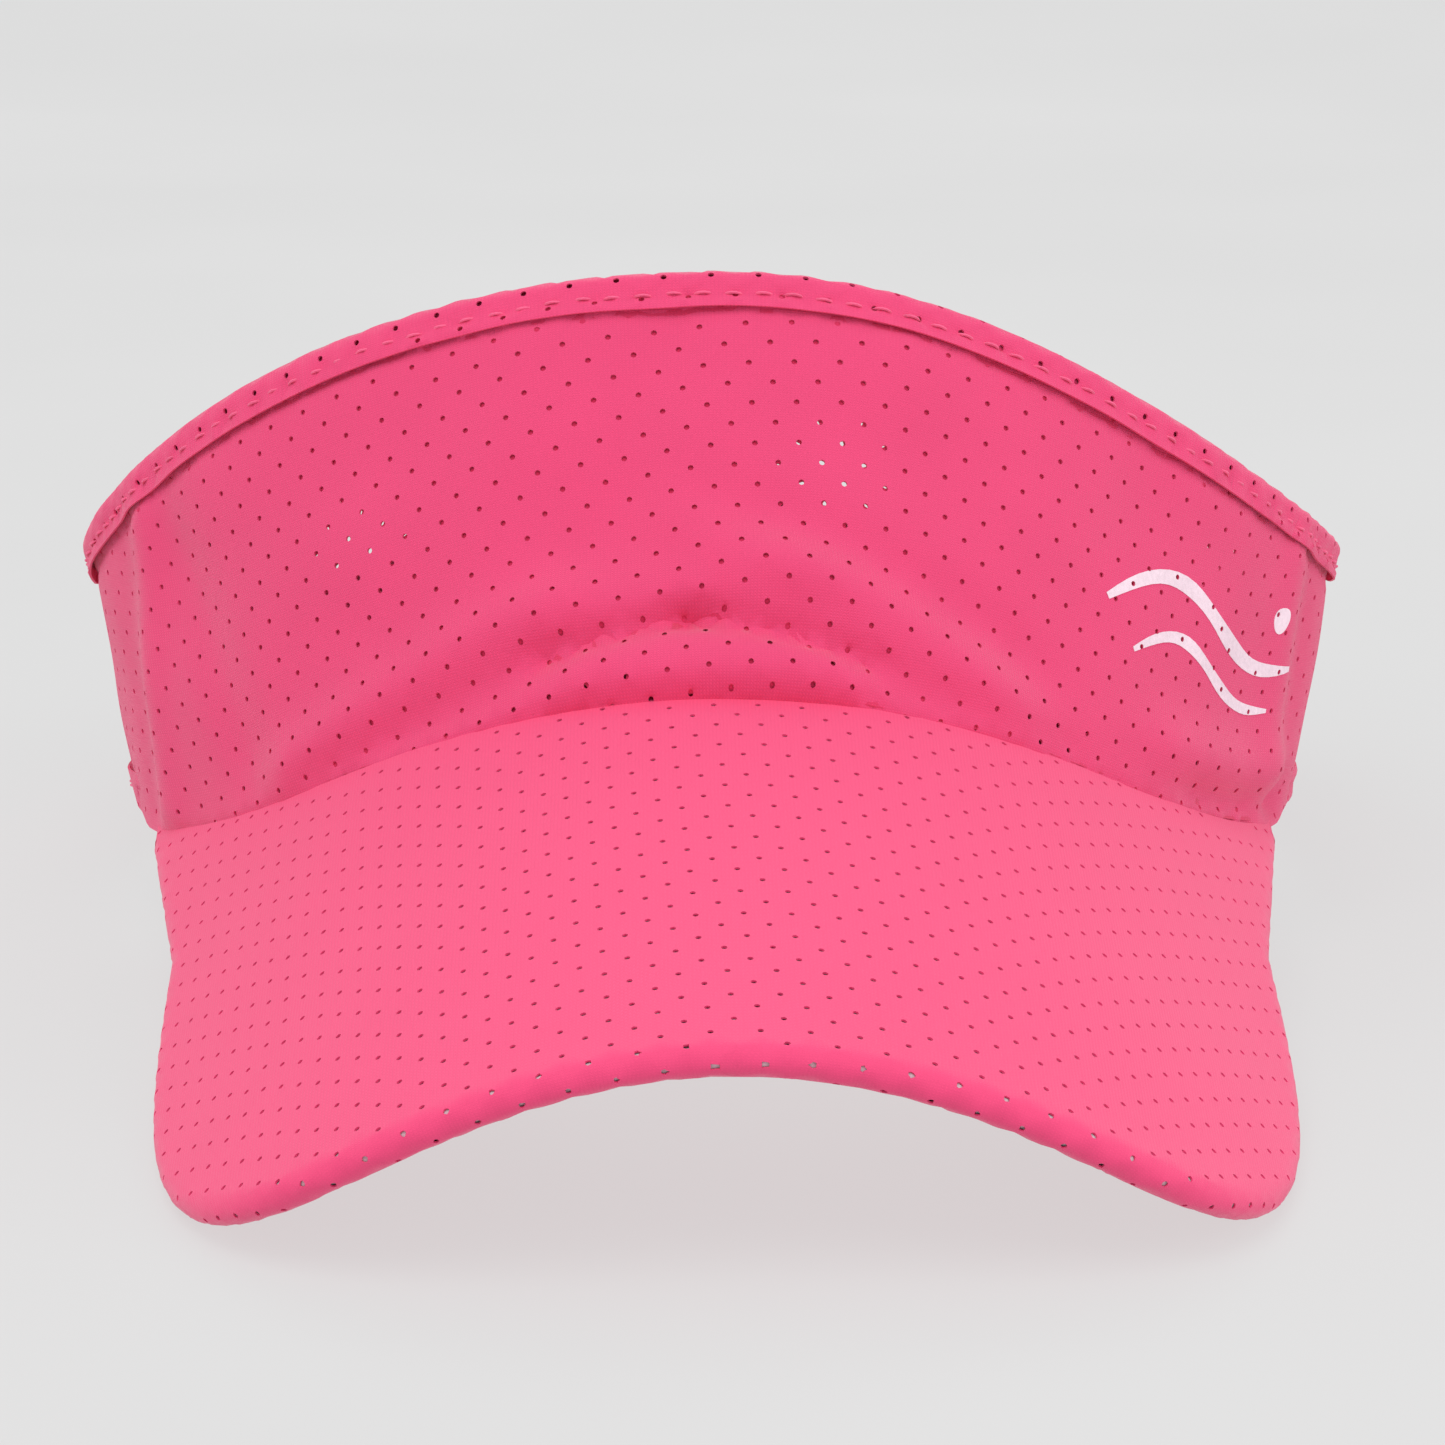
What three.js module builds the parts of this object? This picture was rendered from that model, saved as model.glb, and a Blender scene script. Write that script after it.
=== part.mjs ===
// Sun visor: a perforated head band with an arched, foam-cored brim and a hook-and-loop rear closure.
// Millimetres, +Z up, the brim points along -Y and +X is the wearer's left. The visor stands on the two
// front corners of its brim and on its rear strap, and the origin is below the middle of its box.
import * as THREE from "three";

// ---- driving dimensions -------------------------------------------------------------------------
const GAP = 0.3; // clearance between neighbouring layers
const STEP = 6; // degrees of head oval per facet

const BRIM_HALF_WIDTH = 92; // along the curved surface, centre line to seam end
const BRIM_HALF_OUTLINE = 83.4; // half width of the flat outline, just ahead of the seam ends
const BRIM_LENGTH = 90; // seam centre to front edge
const BRIM_ROUNDNESS = 3.15; // exponent of the super-ellipse that draws the front edge
const CORNER_REACH = 14.7; // how much further forward the sides of the front edge are drawn
const BRIM_SLOPE = THREE.MathUtils.degToRad(11.9); // below horizontal, going forward
const BRIM_ARCH = THREE.MathUtils.degToRad(46); // steepest sideways slope of the arch
const SEAM_DEPTH = 85; // half axes of the ellipse that the inner edge follows
const SEAM_REACH = 100;
const BRIM_END = [92.6, -46]; // flat corner just ahead of each seam end
const SIDE_SHARE = 0.22; // share of the outer outline that is the straight side
const COVER = 0.6; // thickness of one brim cover
const CORE = 2.4; // thickness of the foam core
const EDGE_WRAP = 2.1; // radius of the rolled front edge

const BAND_HALF_WIDTH = 89; // top edge, widest
const BAND_FRONT_LEAN = 32.8; // how far the top edge sits behind the seam at the front
const BAND_FRONT_RISE = 49.7; // how far it stands above the seam at the front
const BAND_MIDDLE = 88; // widest place, behind the seam centre
const REAR_FACE = 168.5; // outer face of the rear strap, behind the seam centre
const REAR_FLAT = 40; // half width of the flat stretch at the rear
const SEAM_END_ANGLE = 72; // oval angle at which the brim ends
const TOP_TILT = 3; // the soft top edge stands this much higher on the wearer's right
const STRAP_HEIGHT = 27;
const FABRIC = 0.8; // one layer of perforated knit
const WEBBING = 1.8; // rear strap, folded fabric
const BINDING_HEIGHT = 5.4;
const HEM_HEIGHT = 6;
const SWEATBAND_HEIGHT = 29;
const SHELL_END = 168; // oval angle at which the band meets the rear straps

const PATCH = 1.2; // thickness of the hook patch and of the loop patch
const FLAP = 1.5; // thickness of the closure strap
const PEEL_LINE = -8; // X of the fold that the closure flap peels about

// ---- finishes ------------------------------------------------------------------------------------
const PINK = { color: 0xef4f80, roughness: 0.72 };
const PINK_BRIM = { color: 0xfa608e, roughness: 0.7 };
const PINK_DARK = { color: 0xd6406f, roughness: 0.8 };
const FOAM_GREY = { color: 0xb9b6b8, roughness: 0.9 };
const TERRY = { color: 0xe2517f, roughness: 0.95 };
const WHITE_INK = { color: 0xf7f3f4, roughness: 0.55 };
const LABEL_WHITE = { color: 0xf0eeee, roughness: 0.7 };
const HOOK_PINK = { color: 0xe0567f, roughness: 0.6 };

const visor = new THREE.Group();

// One named mesh with its own material.
function addMesh(name, geometry, finish) {
  const material = new THREE.MeshStandardMaterial({ metalness: 0, ...finish });
  const mesh = new THREE.Mesh(geometry, material);
  mesh.name = name;
  visor.add(mesh);
}

// Moves every vertex of a geometry through a function of its position.
function bend(geometry, place) {
  const position = geometry.attributes.position;
  const vertex = new THREE.Vector3();
  for (let i = 0; i < position.count; i += 1) {
    vertex.fromBufferAttribute(position, i);
    position.setXYZ(i, ...place(vertex.x, vertex.y, vertex.z).toArray());
  }
  return geometry;
}

// A closed sheet: a unit box whose grid is mapped by (across 0..1, along 0..1, outer face or inner face).
function sheet(columns, rows, place) {
  const box = new THREE.BoxGeometry(1, 1, 1, columns, rows, 1);
  return bend(box, (x, y, z) => place(x + 0.5, y + 0.5, z > 0));
}

// ---- brim surface --------------------------------------------------------------------------------
// The brim is a flat sheet bent about one sloping axis. u runs along the bent direction, v forward.
const BRIM_FORWARD = new THREE.Vector3(0, -Math.cos(BRIM_SLOPE), -Math.sin(BRIM_SLOPE));
const BRIM_UP = new THREE.Vector3(0, -Math.sin(BRIM_SLOPE), Math.cos(BRIM_SLOPE));

function archAngle(u) {
  return BRIM_ARCH * Math.sin((Math.PI * u) / (2 * BRIM_HALF_WIDTH));
}

// Sideways reach and drop of the arch at distance u along it, by summing short chords.
function archPoint(u) {
  const chords = 60;
  let reach = 0;
  let drop = 0;
  for (let i = 0; i < chords; i += 1) {
    const angle = archAngle((u * (i + 0.5)) / chords);
    reach += (Math.cos(angle) * u) / chords;
    drop += (Math.sin(angle) * u) / chords;
  }
  return { reach, drop };
}

function brimPoint(u, v, lift) {
  const { reach, drop } = archPoint(u);
  const angle = archAngle(u);
  const point = new THREE.Vector3(reach + lift * Math.sin(angle), 0, 0);
  point.addScaledVector(BRIM_FORWARD, v);
  return point.addScaledVector(BRIM_UP, lift * Math.cos(angle) - drop);
}

function seamDepth(u) {
  return -SEAM_DEPTH * (1 - Math.sqrt(1 - (u / SEAM_REACH) ** 2));
}

// Flat outline of the front edge, side from -1 at one seam end to 1 at the other.
function brimOutline(side) {
  const along = 1 - Math.abs(side);
  const sign = Math.sign(side);
  if (along < SIDE_SHARE) {
    const share = along / SIDE_SHARE;
    return [
      sign * THREE.MathUtils.lerp(BRIM_END[0], BRIM_HALF_OUTLINE, share),
      THREE.MathUtils.lerp(BRIM_END[1], 0, share),
    ];
  }
  const angle = (Math.PI / 2) * ((along - SIDE_SHARE) / (1 - SIDE_SHARE));
  const power = 2 / BRIM_ROUNDNESS;
  const across = Math.max(Math.cos(angle), 0) ** power;
  const length = BRIM_LENGTH + CORNER_REACH * across * across;
  return [sign * BRIM_HALF_OUTLINE * across, length * Math.sin(angle) ** power];
}

// A point between the seam (along 0) and the outline (along 1), drawn in from the outline by inset.
function brimSheetPoint(side, along, inset, lift) {
  const u0 = side * BRIM_HALF_WIDTH;
  const [u1, v1] = brimOutline(side);
  const v0 = seamDepth(u0);
  const length = Math.hypot(u1 - u0, v1 - v0);
  const share = (along * Math.max(length - inset, 0.2 * length)) / length;
  return brimPoint(
    THREE.MathUtils.lerp(u0, u1, share),
    THREE.MathUtils.lerp(v0, v1, share),
    lift,
  );
}

const BRIM_COLUMNS = (2 * SEAM_END_ANGLE) / STEP;
const CORE_TOP = -COVER - GAP;
const CORE_BOTTOM = CORE_TOP - CORE;
const UNDER_TOP = CORE_BOTTOM - GAP;
const UNDER_BOTTOM = UNDER_TOP - COVER;
const CORE_INSET = EDGE_WRAP + GAP; // the core and the under cover stop this far inside the edge
const UNDER_ROWS = 8;

function brimLayer(top, bottom) {
  return sheet(BRIM_COLUMNS, UNDER_ROWS, (x, y, outer) =>
    brimSheetPoint(1 - 2 * x, y, CORE_INSET, outer ? top : bottom));
}

// The top cover runs out to the edge and then rolls down round it in the last rows of its grid.
function brimTopCover() {
  const flatRows = 9;
  const rollRows = 4;
  const rows = flatRows + rollRows;
  return sheet(BRIM_COLUMNS, rows, (x, y, outer) => {
    const row = y * rows;
    const roll = (Math.PI * Math.max(row - flatRows, 0)) / (2 * rollRows);
    const radius = outer ? EDGE_WRAP : EDGE_WRAP - COVER;
    const inset = EDGE_WRAP - radius * Math.sin(roll);
    const lift = -EDGE_WRAP + radius * Math.cos(roll);
    return brimSheetPoint(1 - 2 * x, Math.min(row / flatRows, 1), inset, lift);
  });
}

// The lowest point of the brim is what the visor stands on.
function brimLowest() {
  let lowest = 0;
  for (let side = 0; side <= BRIM_COLUMNS / 2; side += 1) {
    for (let row = 0; row <= UNDER_ROWS; row += 1) {
      const place = [(2 * side) / BRIM_COLUMNS, row / UNDER_ROWS];
      const point = brimSheetPoint(...place, CORE_INSET, UNDER_BOTTOM);
      lowest = Math.min(lowest, point.z);
    }
  }
  return lowest;
}

// ---- band surface --------------------------------------------------------------------------------
// The band is ruled between a lower and an upper edge. The oval angle t is 0 at the front, +-90 at the
// sides and +-180 where the flat rear begins; past that, each further unit is one millimetre of strap.
const REST_LEVEL = brimLowest();
const SEAM_END = brimPoint(BRIM_HALF_WIDTH, seamDepth(BRIM_HALF_WIDTH), 0);
const LOWER_SIDE = new THREE.CubicBezierCurve3(
  SEAM_END,
  new THREE.Vector3(91, 95, -36),
  new THREE.Vector3(73, REAR_FACE, REST_LEVEL),
  new THREE.Vector3(REAR_FLAT, REAR_FACE, REST_LEVEL),
);

function lowerEdge(t) {
  const angle = Math.abs(t);
  let point;
  if (angle <= SEAM_END_ANGLE) {
    const u = (BRIM_HALF_WIDTH * angle) / SEAM_END_ANGLE;
    point = brimPoint(u, seamDepth(u), 0);
  } else {
    point = LOWER_SIDE.getPoint(Math.min((angle - SEAM_END_ANGLE) / (180 - SEAM_END_ANGLE), 1));
  }
  if (angle > 180) point.x -= angle - 180;
  point.x *= Math.sign(t);
  return point;
}

// Height of the top edge: steep at the front, gentle behind the ears.
function upperDrop(turn) {
  if (turn <= 1) return turn * (80 - 32 * turn);
  const rearDrop = BAND_FRONT_RISE - REST_LEVEL - STRAP_HEIGHT;
  const back = turn - 1;
  return 48 + 16 * back + (rearDrop - 64) * back * back;
}

function upperEdge(t) {
  const angle = Math.min(Math.abs(t), 180);
  const radians = THREE.MathUtils.degToRad(angle);
  const turn = 1 - Math.cos(radians);
  const sine = Math.sin(radians);
  const front = angle <= 90;
  const tilt = angle < 100 ? TOP_TILT * Math.sin(1.8 * radians) ** 2 * Math.sign(t) : 0;
  const x = front ? BAND_HALF_WIDTH * sine : REAR_FLAT + (BAND_HALF_WIDTH - REAR_FLAT) * sine;
  const y = front
    ? BAND_FRONT_LEAN + (BAND_MIDDLE - BAND_FRONT_LEAN) * turn
    : BAND_MIDDLE + (REAR_FACE - BAND_MIDDLE) * (turn - 1);
  const past = Math.max(Math.abs(t) - 180, 0);
  return new THREE.Vector3((x - past) * Math.sign(t), y, BAND_FRONT_RISE - upperDrop(turn) - tilt);
}

// The edges, the ruling between them and the outward direction at angle t.
function bandFrame(t) {
  const low = lowerEdge(t);
  const rule = upperEdge(t).sub(low);
  const height = rule.length();
  rule.normalize();
  const ahead = lowerEdge(t + 0.5).add(upperEdge(t + 0.5));
  const behind = lowerEdge(t - 0.5).add(upperEdge(t - 0.5));
  const out = new THREE.Vector3().crossVectors(ahead.sub(behind), rule).normalize();
  return { low, rule, height, out };
}

// Oval angles of the facet lines between two ends, shared by every layer so that they nest.
function facetAngles(from, to) {
  const angles = [from];
  for (let t = Math.ceil(from / STEP) * STEP; t < to - 0.5; t += STEP) {
    if (t > from + 0.5) angles.push(t);
  }
  return [...angles, to];
}

// A strip of the band: low is measured up from the lower edge, high down from the upper edge.
// outer and inner are distances outside the reference surface, as numbers or functions of t.
function bandStrip({ from, to, low, high, outer, inner, rows = 3 }) {
  const angles = facetAngles(from, to);
  const value = (amount, frame, t) => (typeof amount === "function" ? amount(frame, t) : amount);
  return sheet(angles.length - 1, rows, (x, y, isOuter) => {
    const t = angles[Math.round(x * (angles.length - 1))];
    const frame = bandFrame(t);
    const bottom = value(low, frame, t);
    const top = frame.height - value(high, frame, t);
    return frame.low
      .clone()
      .addScaledVector(frame.rule, THREE.MathUtils.lerp(bottom, top, y))
      .addScaledVector(frame.out, value(isOuter ? outer : inner, frame, t));
  });
}

// A folded tape round an edge of the band: a U-shaped section carried along the oval.
function foldedTape({ from, to, height, outerFace, innerFace, atTop }) {
  const wall = FABRIC;
  const section = new THREE.Shape([
    [0, -height],
    [0, 0],
    [outerFace - innerFace, 0],
    [outerFace - innerFace, -height],
    [outerFace - innerFace - wall, -height],
    [outerFace - innerFace - wall, -wall],
    [wall, -wall],
    [wall, -height],
  ].map(([x, y]) => new THREE.Vector2(x, y)));
  const angles = facetAngles(from, to);
  const steps = angles.length - 1;
  const tape = new THREE.ExtrudeGeometry(section, { depth: 1, steps, bevelEnabled: false });
  return bend(tape, (x, y, z) => {
    const frame = bandFrame(angles[Math.round(z * steps)]);
    const rise = atTop ? frame.height + y : -y;
    const out = atTop ? outerFace - x : innerFace + x;
    return frame.low.clone().addScaledVector(frame.rule, rise).addScaledVector(frame.out, out);
  });
}

// ---- band pieces ---------------------------------------------------------------------------------
const LINING_OUTER = -FABRIC - GAP;
const LINING_INNER = LINING_OUTER - FABRIC;
const TAPE_OUTER = LINING_INNER - GAP;
const TAPE_INNER = TAPE_OUTER - 0.6;
const FOAM_OUTER = TAPE_INNER - 2 * GAP;
const FOAM_INNER = FOAM_OUTER - 1.8;
const TERRY_INNER = FOAM_INNER - GAP - 0.9;
const EDGE_CLEAR = FABRIC + GAP;

function addBand() {
  const shellRange = { from: -SHELL_END, to: SHELL_END };
  const shell = { ...shellRange, low: EDGE_CLEAR, high: EDGE_CLEAR };
  addMesh("band_shell", bandStrip({ ...shell, outer: 0, inner: -FABRIC }), PINK);
  addMesh("band_lining", bandStrip({ ...shell, outer: LINING_OUTER, inner: LINING_INNER }), PINK);
  const faces = { outerFace: FABRIC + GAP, innerFace: LINING_INNER - FABRIC - GAP };
  const binding = foldedTape({ ...shellRange, ...faces, height: BINDING_HEIGHT, atTop: true });
  addMesh("top_binding", binding, PINK);
  const hem = { ...faces, height: HEM_HEIGHT, atTop: false };
  const hemStart = SEAM_END_ANGLE + 1;
  addMesh("side_hem_left", foldedTape({ ...hem, from: hemStart, to: SHELL_END }), PINK);
  addMesh("side_hem_right", foldedTape({ ...hem, from: -SHELL_END, to: -hemStart }), PINK);
}

function addSweatband() {
  const reach = 66;
  const tapeHeight = 9;
  const upTo = (height) => (frame) => frame.height - height;
  const seam = { from: -reach, to: reach, low: 1, high: upTo(tapeHeight), rows: 1 };
  addMesh("brim_seam_tape", bandStrip({ ...seam, outer: TAPE_OUTER, inner: TAPE_INNER }), PINK_DARK);
  const pad = { from: -reach, to: reach, low: 1, high: upTo(SWEATBAND_HEIGHT), rows: 2 };
  addMesh("sweatband_foam", bandStrip({ ...pad, outer: FOAM_OUTER, inner: FOAM_INNER }), FOAM_GREY);
  const face = { ...pad, outer: FOAM_INNER - GAP, inner: TERRY_INNER };
  addMesh("sweatband_terry", bandStrip(face), TERRY);
  const label = { from: 128, to: 140, low: 10, high: upTo(21), rows: 1 };
  const labelOuter = LINING_INNER - GAP;
  addMesh("care_label", bandStrip({ ...label, outer: labelOuter, inner: labelOuter - 0.4 }), LABEL_WHITE);
}

// ---- printed mark --------------------------------------------------------------------------------
// Two tapering waves and a dot of raised white ink on the wearer's left side of the shell.
const PRINT_LIFT = 0.3;
const PRINT_FILM = 0.2;

function wave({ from, to, startRise, endRise, sway, width }) {
  return sheet(10, 1, (x, y, outer) => {
    const frame = bandFrame(THREE.MathUtils.lerp(from, to, x));
    const taper = 0.12 + 0.88 * Math.sin(Math.PI * Math.min(0.12 + x * 0.86, 1)) ** 0.8;
    const swing = Math.sin(2 * Math.PI * x) * (1 - 0.35 * x) + 0.9 * Math.sin(Math.PI * x);
    const middle = THREE.MathUtils.lerp(startRise, endRise, x) + sway * swing;
    const rise = middle + (y - 0.5) * width * taper;
    const out = PRINT_LIFT + (outer ? PRINT_FILM : 0);
    return frame.low.clone().addScaledVector(frame.rule, rise).addScaledVector(frame.out, out);
  });
}

function dot({ angle, rise, radius }) {
  const disc = new THREE.CylinderGeometry(radius, radius, PRINT_FILM, 20);
  return bend(disc, (x, y, z) => {
    const frame = bandFrame(angle + x / 1.35);
    const out = PRINT_LIFT + PRINT_FILM / 2 + y;
    return frame.low.clone().addScaledVector(frame.rule, rise - z).addScaledVector(frame.out, out);
  });
}

function addPrint() {
  const upper = { from: 39.3, to: 67.7, startRise: 25, endRise: 22.5, sway: 4.2, width: 2.6 };
  addMesh("print_wave_upper", wave(upper), WHITE_INK);
  const lower = { from: 43.4, to: 65.4, startRise: 19, endRise: 16.5, sway: 3, width: 2 };
  addMesh("print_wave_lower", wave(lower), WHITE_INK);
  addMesh("print_dot", dot({ angle: 64.6, rise: 29.5, radius: 1.9 }), WHITE_INK);
}

// ---- brim pieces ---------------------------------------------------------------------------------
function addBrim() {
  addMesh("brim_top_cover", brimTopCover(), PINK_BRIM);
  addMesh("brim_core", brimLayer(CORE_TOP, CORE_BOTTOM), FOAM_GREY);
  addMesh("brim_under_cover", brimLayer(UNDER_TOP, UNDER_BOTTOM), PINK_DARK);
}

// ---- rear closure --------------------------------------------------------------------------------
const LOOP_OUTER = GAP + PATCH;
const HOOK_OUTER = LOOP_OUTER + GAP + PATCH;
const FLAP_OUTER = HOOK_OUTER + GAP + FLAP;
const STRAP_INSET = 1.5; // the closure is this much lower and shorter than the strap

// A flat block behind the head, centred on the strap's height, with its outer face at REAR_FACE + outer.
function rearBlock({ from, to, outer, thick, inset }) {
  const height = STRAP_HEIGHT - 2 * inset;
  const block = new THREE.BoxGeometry(to - from, thick, height);
  const middle = REST_LEVEL + STRAP_HEIGHT / 2;
  return block.translate((from + to) / 2, REAR_FACE + outer - thick / 2, middle);
}

// The same block with its free end rounded, standing up along Z.
function roundEndFlap({ from, to, outer, thick, inset, radius }) {
  const half = STRAP_HEIGHT / 2 - inset;
  const outline = new THREE.Shape();
  outline.moveTo(from, -half);
  outline.lineTo(to - radius, -half);
  outline.absarc(to - radius, -half + radius, radius, -Math.PI / 2, 0);
  outline.absarc(to - radius, half - radius, radius, 0, Math.PI / 2);
  outline.lineTo(from, half);
  const options = { depth: thick, bevelEnabled: false, curveSegments: 6 };
  const block = new THREE.ExtrudeGeometry(outline, options).rotateX(Math.PI / 2);
  return block.translate(0, REAR_FACE + outer, REST_LEVEL + STRAP_HEIGHT / 2);
}

function addStraps() {
  const strapStart = SHELL_END + 0.5;
  const strap = { low: 0, high: 0, outer: 0, inner: -WEBBING, rows: 2 };
  const flat = REAR_FLAT + 180;
  addMesh("rear_strap_left", bandStrip({ ...strap, from: strapStart, to: flat + 8 }), PINK);
  addMesh("rear_strap_right", bandStrip({ ...strap, from: -174, to: -strapStart }), PINK);
  const jointOuter = -WEBBING - 2 * GAP;
  const joint = { low: 7, high: 7, outer: jointOuter, inner: jointOuter - FABRIC, rows: 1 };
  addMesh("strap_joint_left", bandStrip({ ...joint, from: 162, to: 174 }), PINK_DARK);
  addMesh("strap_joint_right", bandStrip({ ...joint, from: -174, to: -162 }), PINK_DARK);

  // Ruched elastic between the right strap and the closure, climbing to the outer layer.
  const elasticStart = -174.5;
  const elasticEnd = -(180 + REAR_FLAT - 27.4);
  const climb = (frame, t) => FLAP_OUTER * THREE.MathUtils.smoothstep(-t, -elasticStart, -elasticEnd);
  const elastic = {
    from: elasticEnd,
    to: elasticStart,
    low: STRAP_INSET,
    high: STRAP_INSET,
    outer: climb,
    inner: (frame, t) => climb(frame, t) - FLAP,
    rows: 1,
  };
  addMesh("elastic_insert", bandStrip(elastic), PINK_DARK);
}

function addClosure() {
  const loop = { from: -4, to: 38, outer: LOOP_OUTER, thick: PATCH, inset: 3 };
  addMesh("loop_patch", rearBlock(loop), PINK_DARK);
  const base = { from: -27, to: PEEL_LINE - 0.4, outer: FLAP_OUTER, thick: FLAP, inset: STRAP_INSET };
  addMesh("closure_tab", rearBlock(base), PINK);
  const flap = { ...base, from: PEEL_LINE + 0.4, to: 42, radius: 9 };
  addMesh("closure_flap", roundEndFlap(flap), PINK);
  const hook = { from: -3, to: 34, outer: HOOK_OUTER, thick: PATCH, inset: 4 };
  addMesh("hook_patch", rearBlock(hook), HOOK_PINK);
}

addBand();
addSweatband();
addPrint();
addBrim();
addStraps();
addClosure();

// The origin goes below the middle of the visor's box, at the level it stands on.
visor.updateMatrixWorld(true);
const box = new THREE.Box3().setFromObject(visor, true);
const centre = box.getCenter(new THREE.Vector3());
visor.position.set(-centre.x, -centre.y, -box.min.z);
visor.updateMatrixWorld(true);

export default visor;
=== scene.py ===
"""Looks of a perforated sun visor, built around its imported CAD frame.

Lengths inside the shape functions are millimetres from the seam centre, the front middle point where the
brim meets the band; to_frame() turns them into metres in the row frame. +Z is up and the brim points to -Y.
"""
import math

import bpy
import numpy as np
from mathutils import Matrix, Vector, noise
from mathutils.geometry import delaunay_2d_cdt


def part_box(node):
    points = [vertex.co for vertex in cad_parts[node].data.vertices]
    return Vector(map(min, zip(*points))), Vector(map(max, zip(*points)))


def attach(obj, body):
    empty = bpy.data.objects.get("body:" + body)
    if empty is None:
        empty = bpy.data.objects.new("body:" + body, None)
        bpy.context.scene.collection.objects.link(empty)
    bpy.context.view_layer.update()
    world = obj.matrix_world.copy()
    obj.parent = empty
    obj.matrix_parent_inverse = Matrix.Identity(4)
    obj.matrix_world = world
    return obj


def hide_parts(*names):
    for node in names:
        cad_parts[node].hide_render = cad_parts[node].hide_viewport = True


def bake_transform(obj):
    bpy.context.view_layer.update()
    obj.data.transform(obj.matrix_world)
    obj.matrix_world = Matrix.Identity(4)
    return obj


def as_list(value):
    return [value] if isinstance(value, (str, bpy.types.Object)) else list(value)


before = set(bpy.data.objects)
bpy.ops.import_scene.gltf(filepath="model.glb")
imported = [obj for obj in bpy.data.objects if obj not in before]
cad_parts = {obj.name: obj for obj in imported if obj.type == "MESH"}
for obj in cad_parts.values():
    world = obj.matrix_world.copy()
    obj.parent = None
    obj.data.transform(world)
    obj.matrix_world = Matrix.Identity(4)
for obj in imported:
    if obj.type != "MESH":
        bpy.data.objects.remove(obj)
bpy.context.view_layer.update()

MM = 0.001

# ---- driving dimensions, as in the frame ----
BRIM_HALF_WIDTH, BRIM_HALF_OUTLINE, BRIM_LENGTH, BRIM_ROUNDNESS = 92.0, 83.4, 90.0, 3.15
CORNER_REACH = 14.7  # how much further forward the sides of the front edge are drawn
BRIM_SLOPE, BRIM_ARCH = math.radians(11.9), math.radians(46)
SEAM_DEPTH, SEAM_REACH = 85.0, 100.0
BRIM_END = np.array([92.6, -46.0])
SIDE_SHARE = 0.22
EDGE_RADIUS = 2.1
BAND_HALF_WIDTH, BAND_LEAN, BAND_RISE, BAND_MIDDLE = 89.0, 32.8, 49.7, 88.0
REAR_FACE, REAR_FLAT, SEAM_END_ANGLE, TOP_TILT = 168.5, 40.0, 72.0, 3.0
STRAP_HEIGHT, SHELL_END = 27.0, 168.0
PEEL_LINE = -8.0

SEAM_CENTRE = np.array([
    0.0,
    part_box("rear_strap_left")[1].y / MM - REAR_FACE,
    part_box("brim_top_cover")[1].z / MM,
])
REST_LEVEL = -SEAM_CENTRE[2]

HOLE_RADIUS = 0.39
HOLE_MARGIN = 0.35  # least fabric between a hole and the cut edge
HOLE_PITCH = 5.6  # along the rows; the rows lie half of this apart
KNIT = 0.32  # thickness of one layer
LINING_HOLE = 0.56  # radius of the lining's holes
LINING_DEPTH = 0.42  # from the band's outer face to the lining's
COVER_KNIT = 0.26  # thickness of the brim's covers
STITCH_PITCH = 3.6
TOP_THREAD, FINE_THREAD = 0.2, 0.16  # radius of the tapes' thread and of the straps' thread
HEM = 6.0  # height of the side hems
STITCH_DEPTH = 3.5  # from the folded edge of a tape to its row of stitches


def to_frame(points):
    """Millimetres from the seam centre to metres in the row frame."""
    return (np.asarray(points, float) + SEAM_CENTRE) * MM


def smoothstep(low, high, value):
    t = np.clip((value - low) / (high - low), 0, 1)
    return t * t * (3 - 2 * t)


def bell(value, width):
    return np.exp(-((value / width) ** 2))


# ---- brim surface ----
FORWARD = np.array([0, -math.cos(BRIM_SLOPE), -math.sin(BRIM_SLOPE)])
UPWARD = np.array([0, -math.sin(BRIM_SLOPE), math.cos(BRIM_SLOPE)])
ARC_U = np.linspace(0, 110, 1101)
ARC_ANGLE = BRIM_ARCH * np.sin(np.pi * ARC_U / (2 * BRIM_HALF_WIDTH))


def running_sum(values):
    chords = (values[1:] + values[:-1]) / 2 * np.diff(ARC_U)
    return np.concatenate([[0], np.cumsum(chords)])


ARC_REACH = running_sum(np.cos(ARC_ANGLE))
ARC_DROP = running_sum(np.sin(ARC_ANGLE))


def brim_point(u, v, lift):
    """Points of the arched brim: u across, v forward, lift off its upper face."""
    side, size = np.sign(u), np.abs(u)
    angle = np.interp(size, ARC_U, ARC_ANGLE)
    reach = np.interp(size, ARC_U, ARC_REACH) + lift * np.sin(angle)
    rise = lift * np.cos(angle) - np.interp(size, ARC_U, ARC_DROP)
    across = np.stack([side * reach, 0 * reach, 0 * reach], 1)
    return across + v[:, None] * FORWARD + rise[:, None] * UPWARD


def seam_depth(u):
    return -SEAM_DEPTH * (1 - np.sqrt(1 - (u / SEAM_REACH) ** 2))


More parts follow.
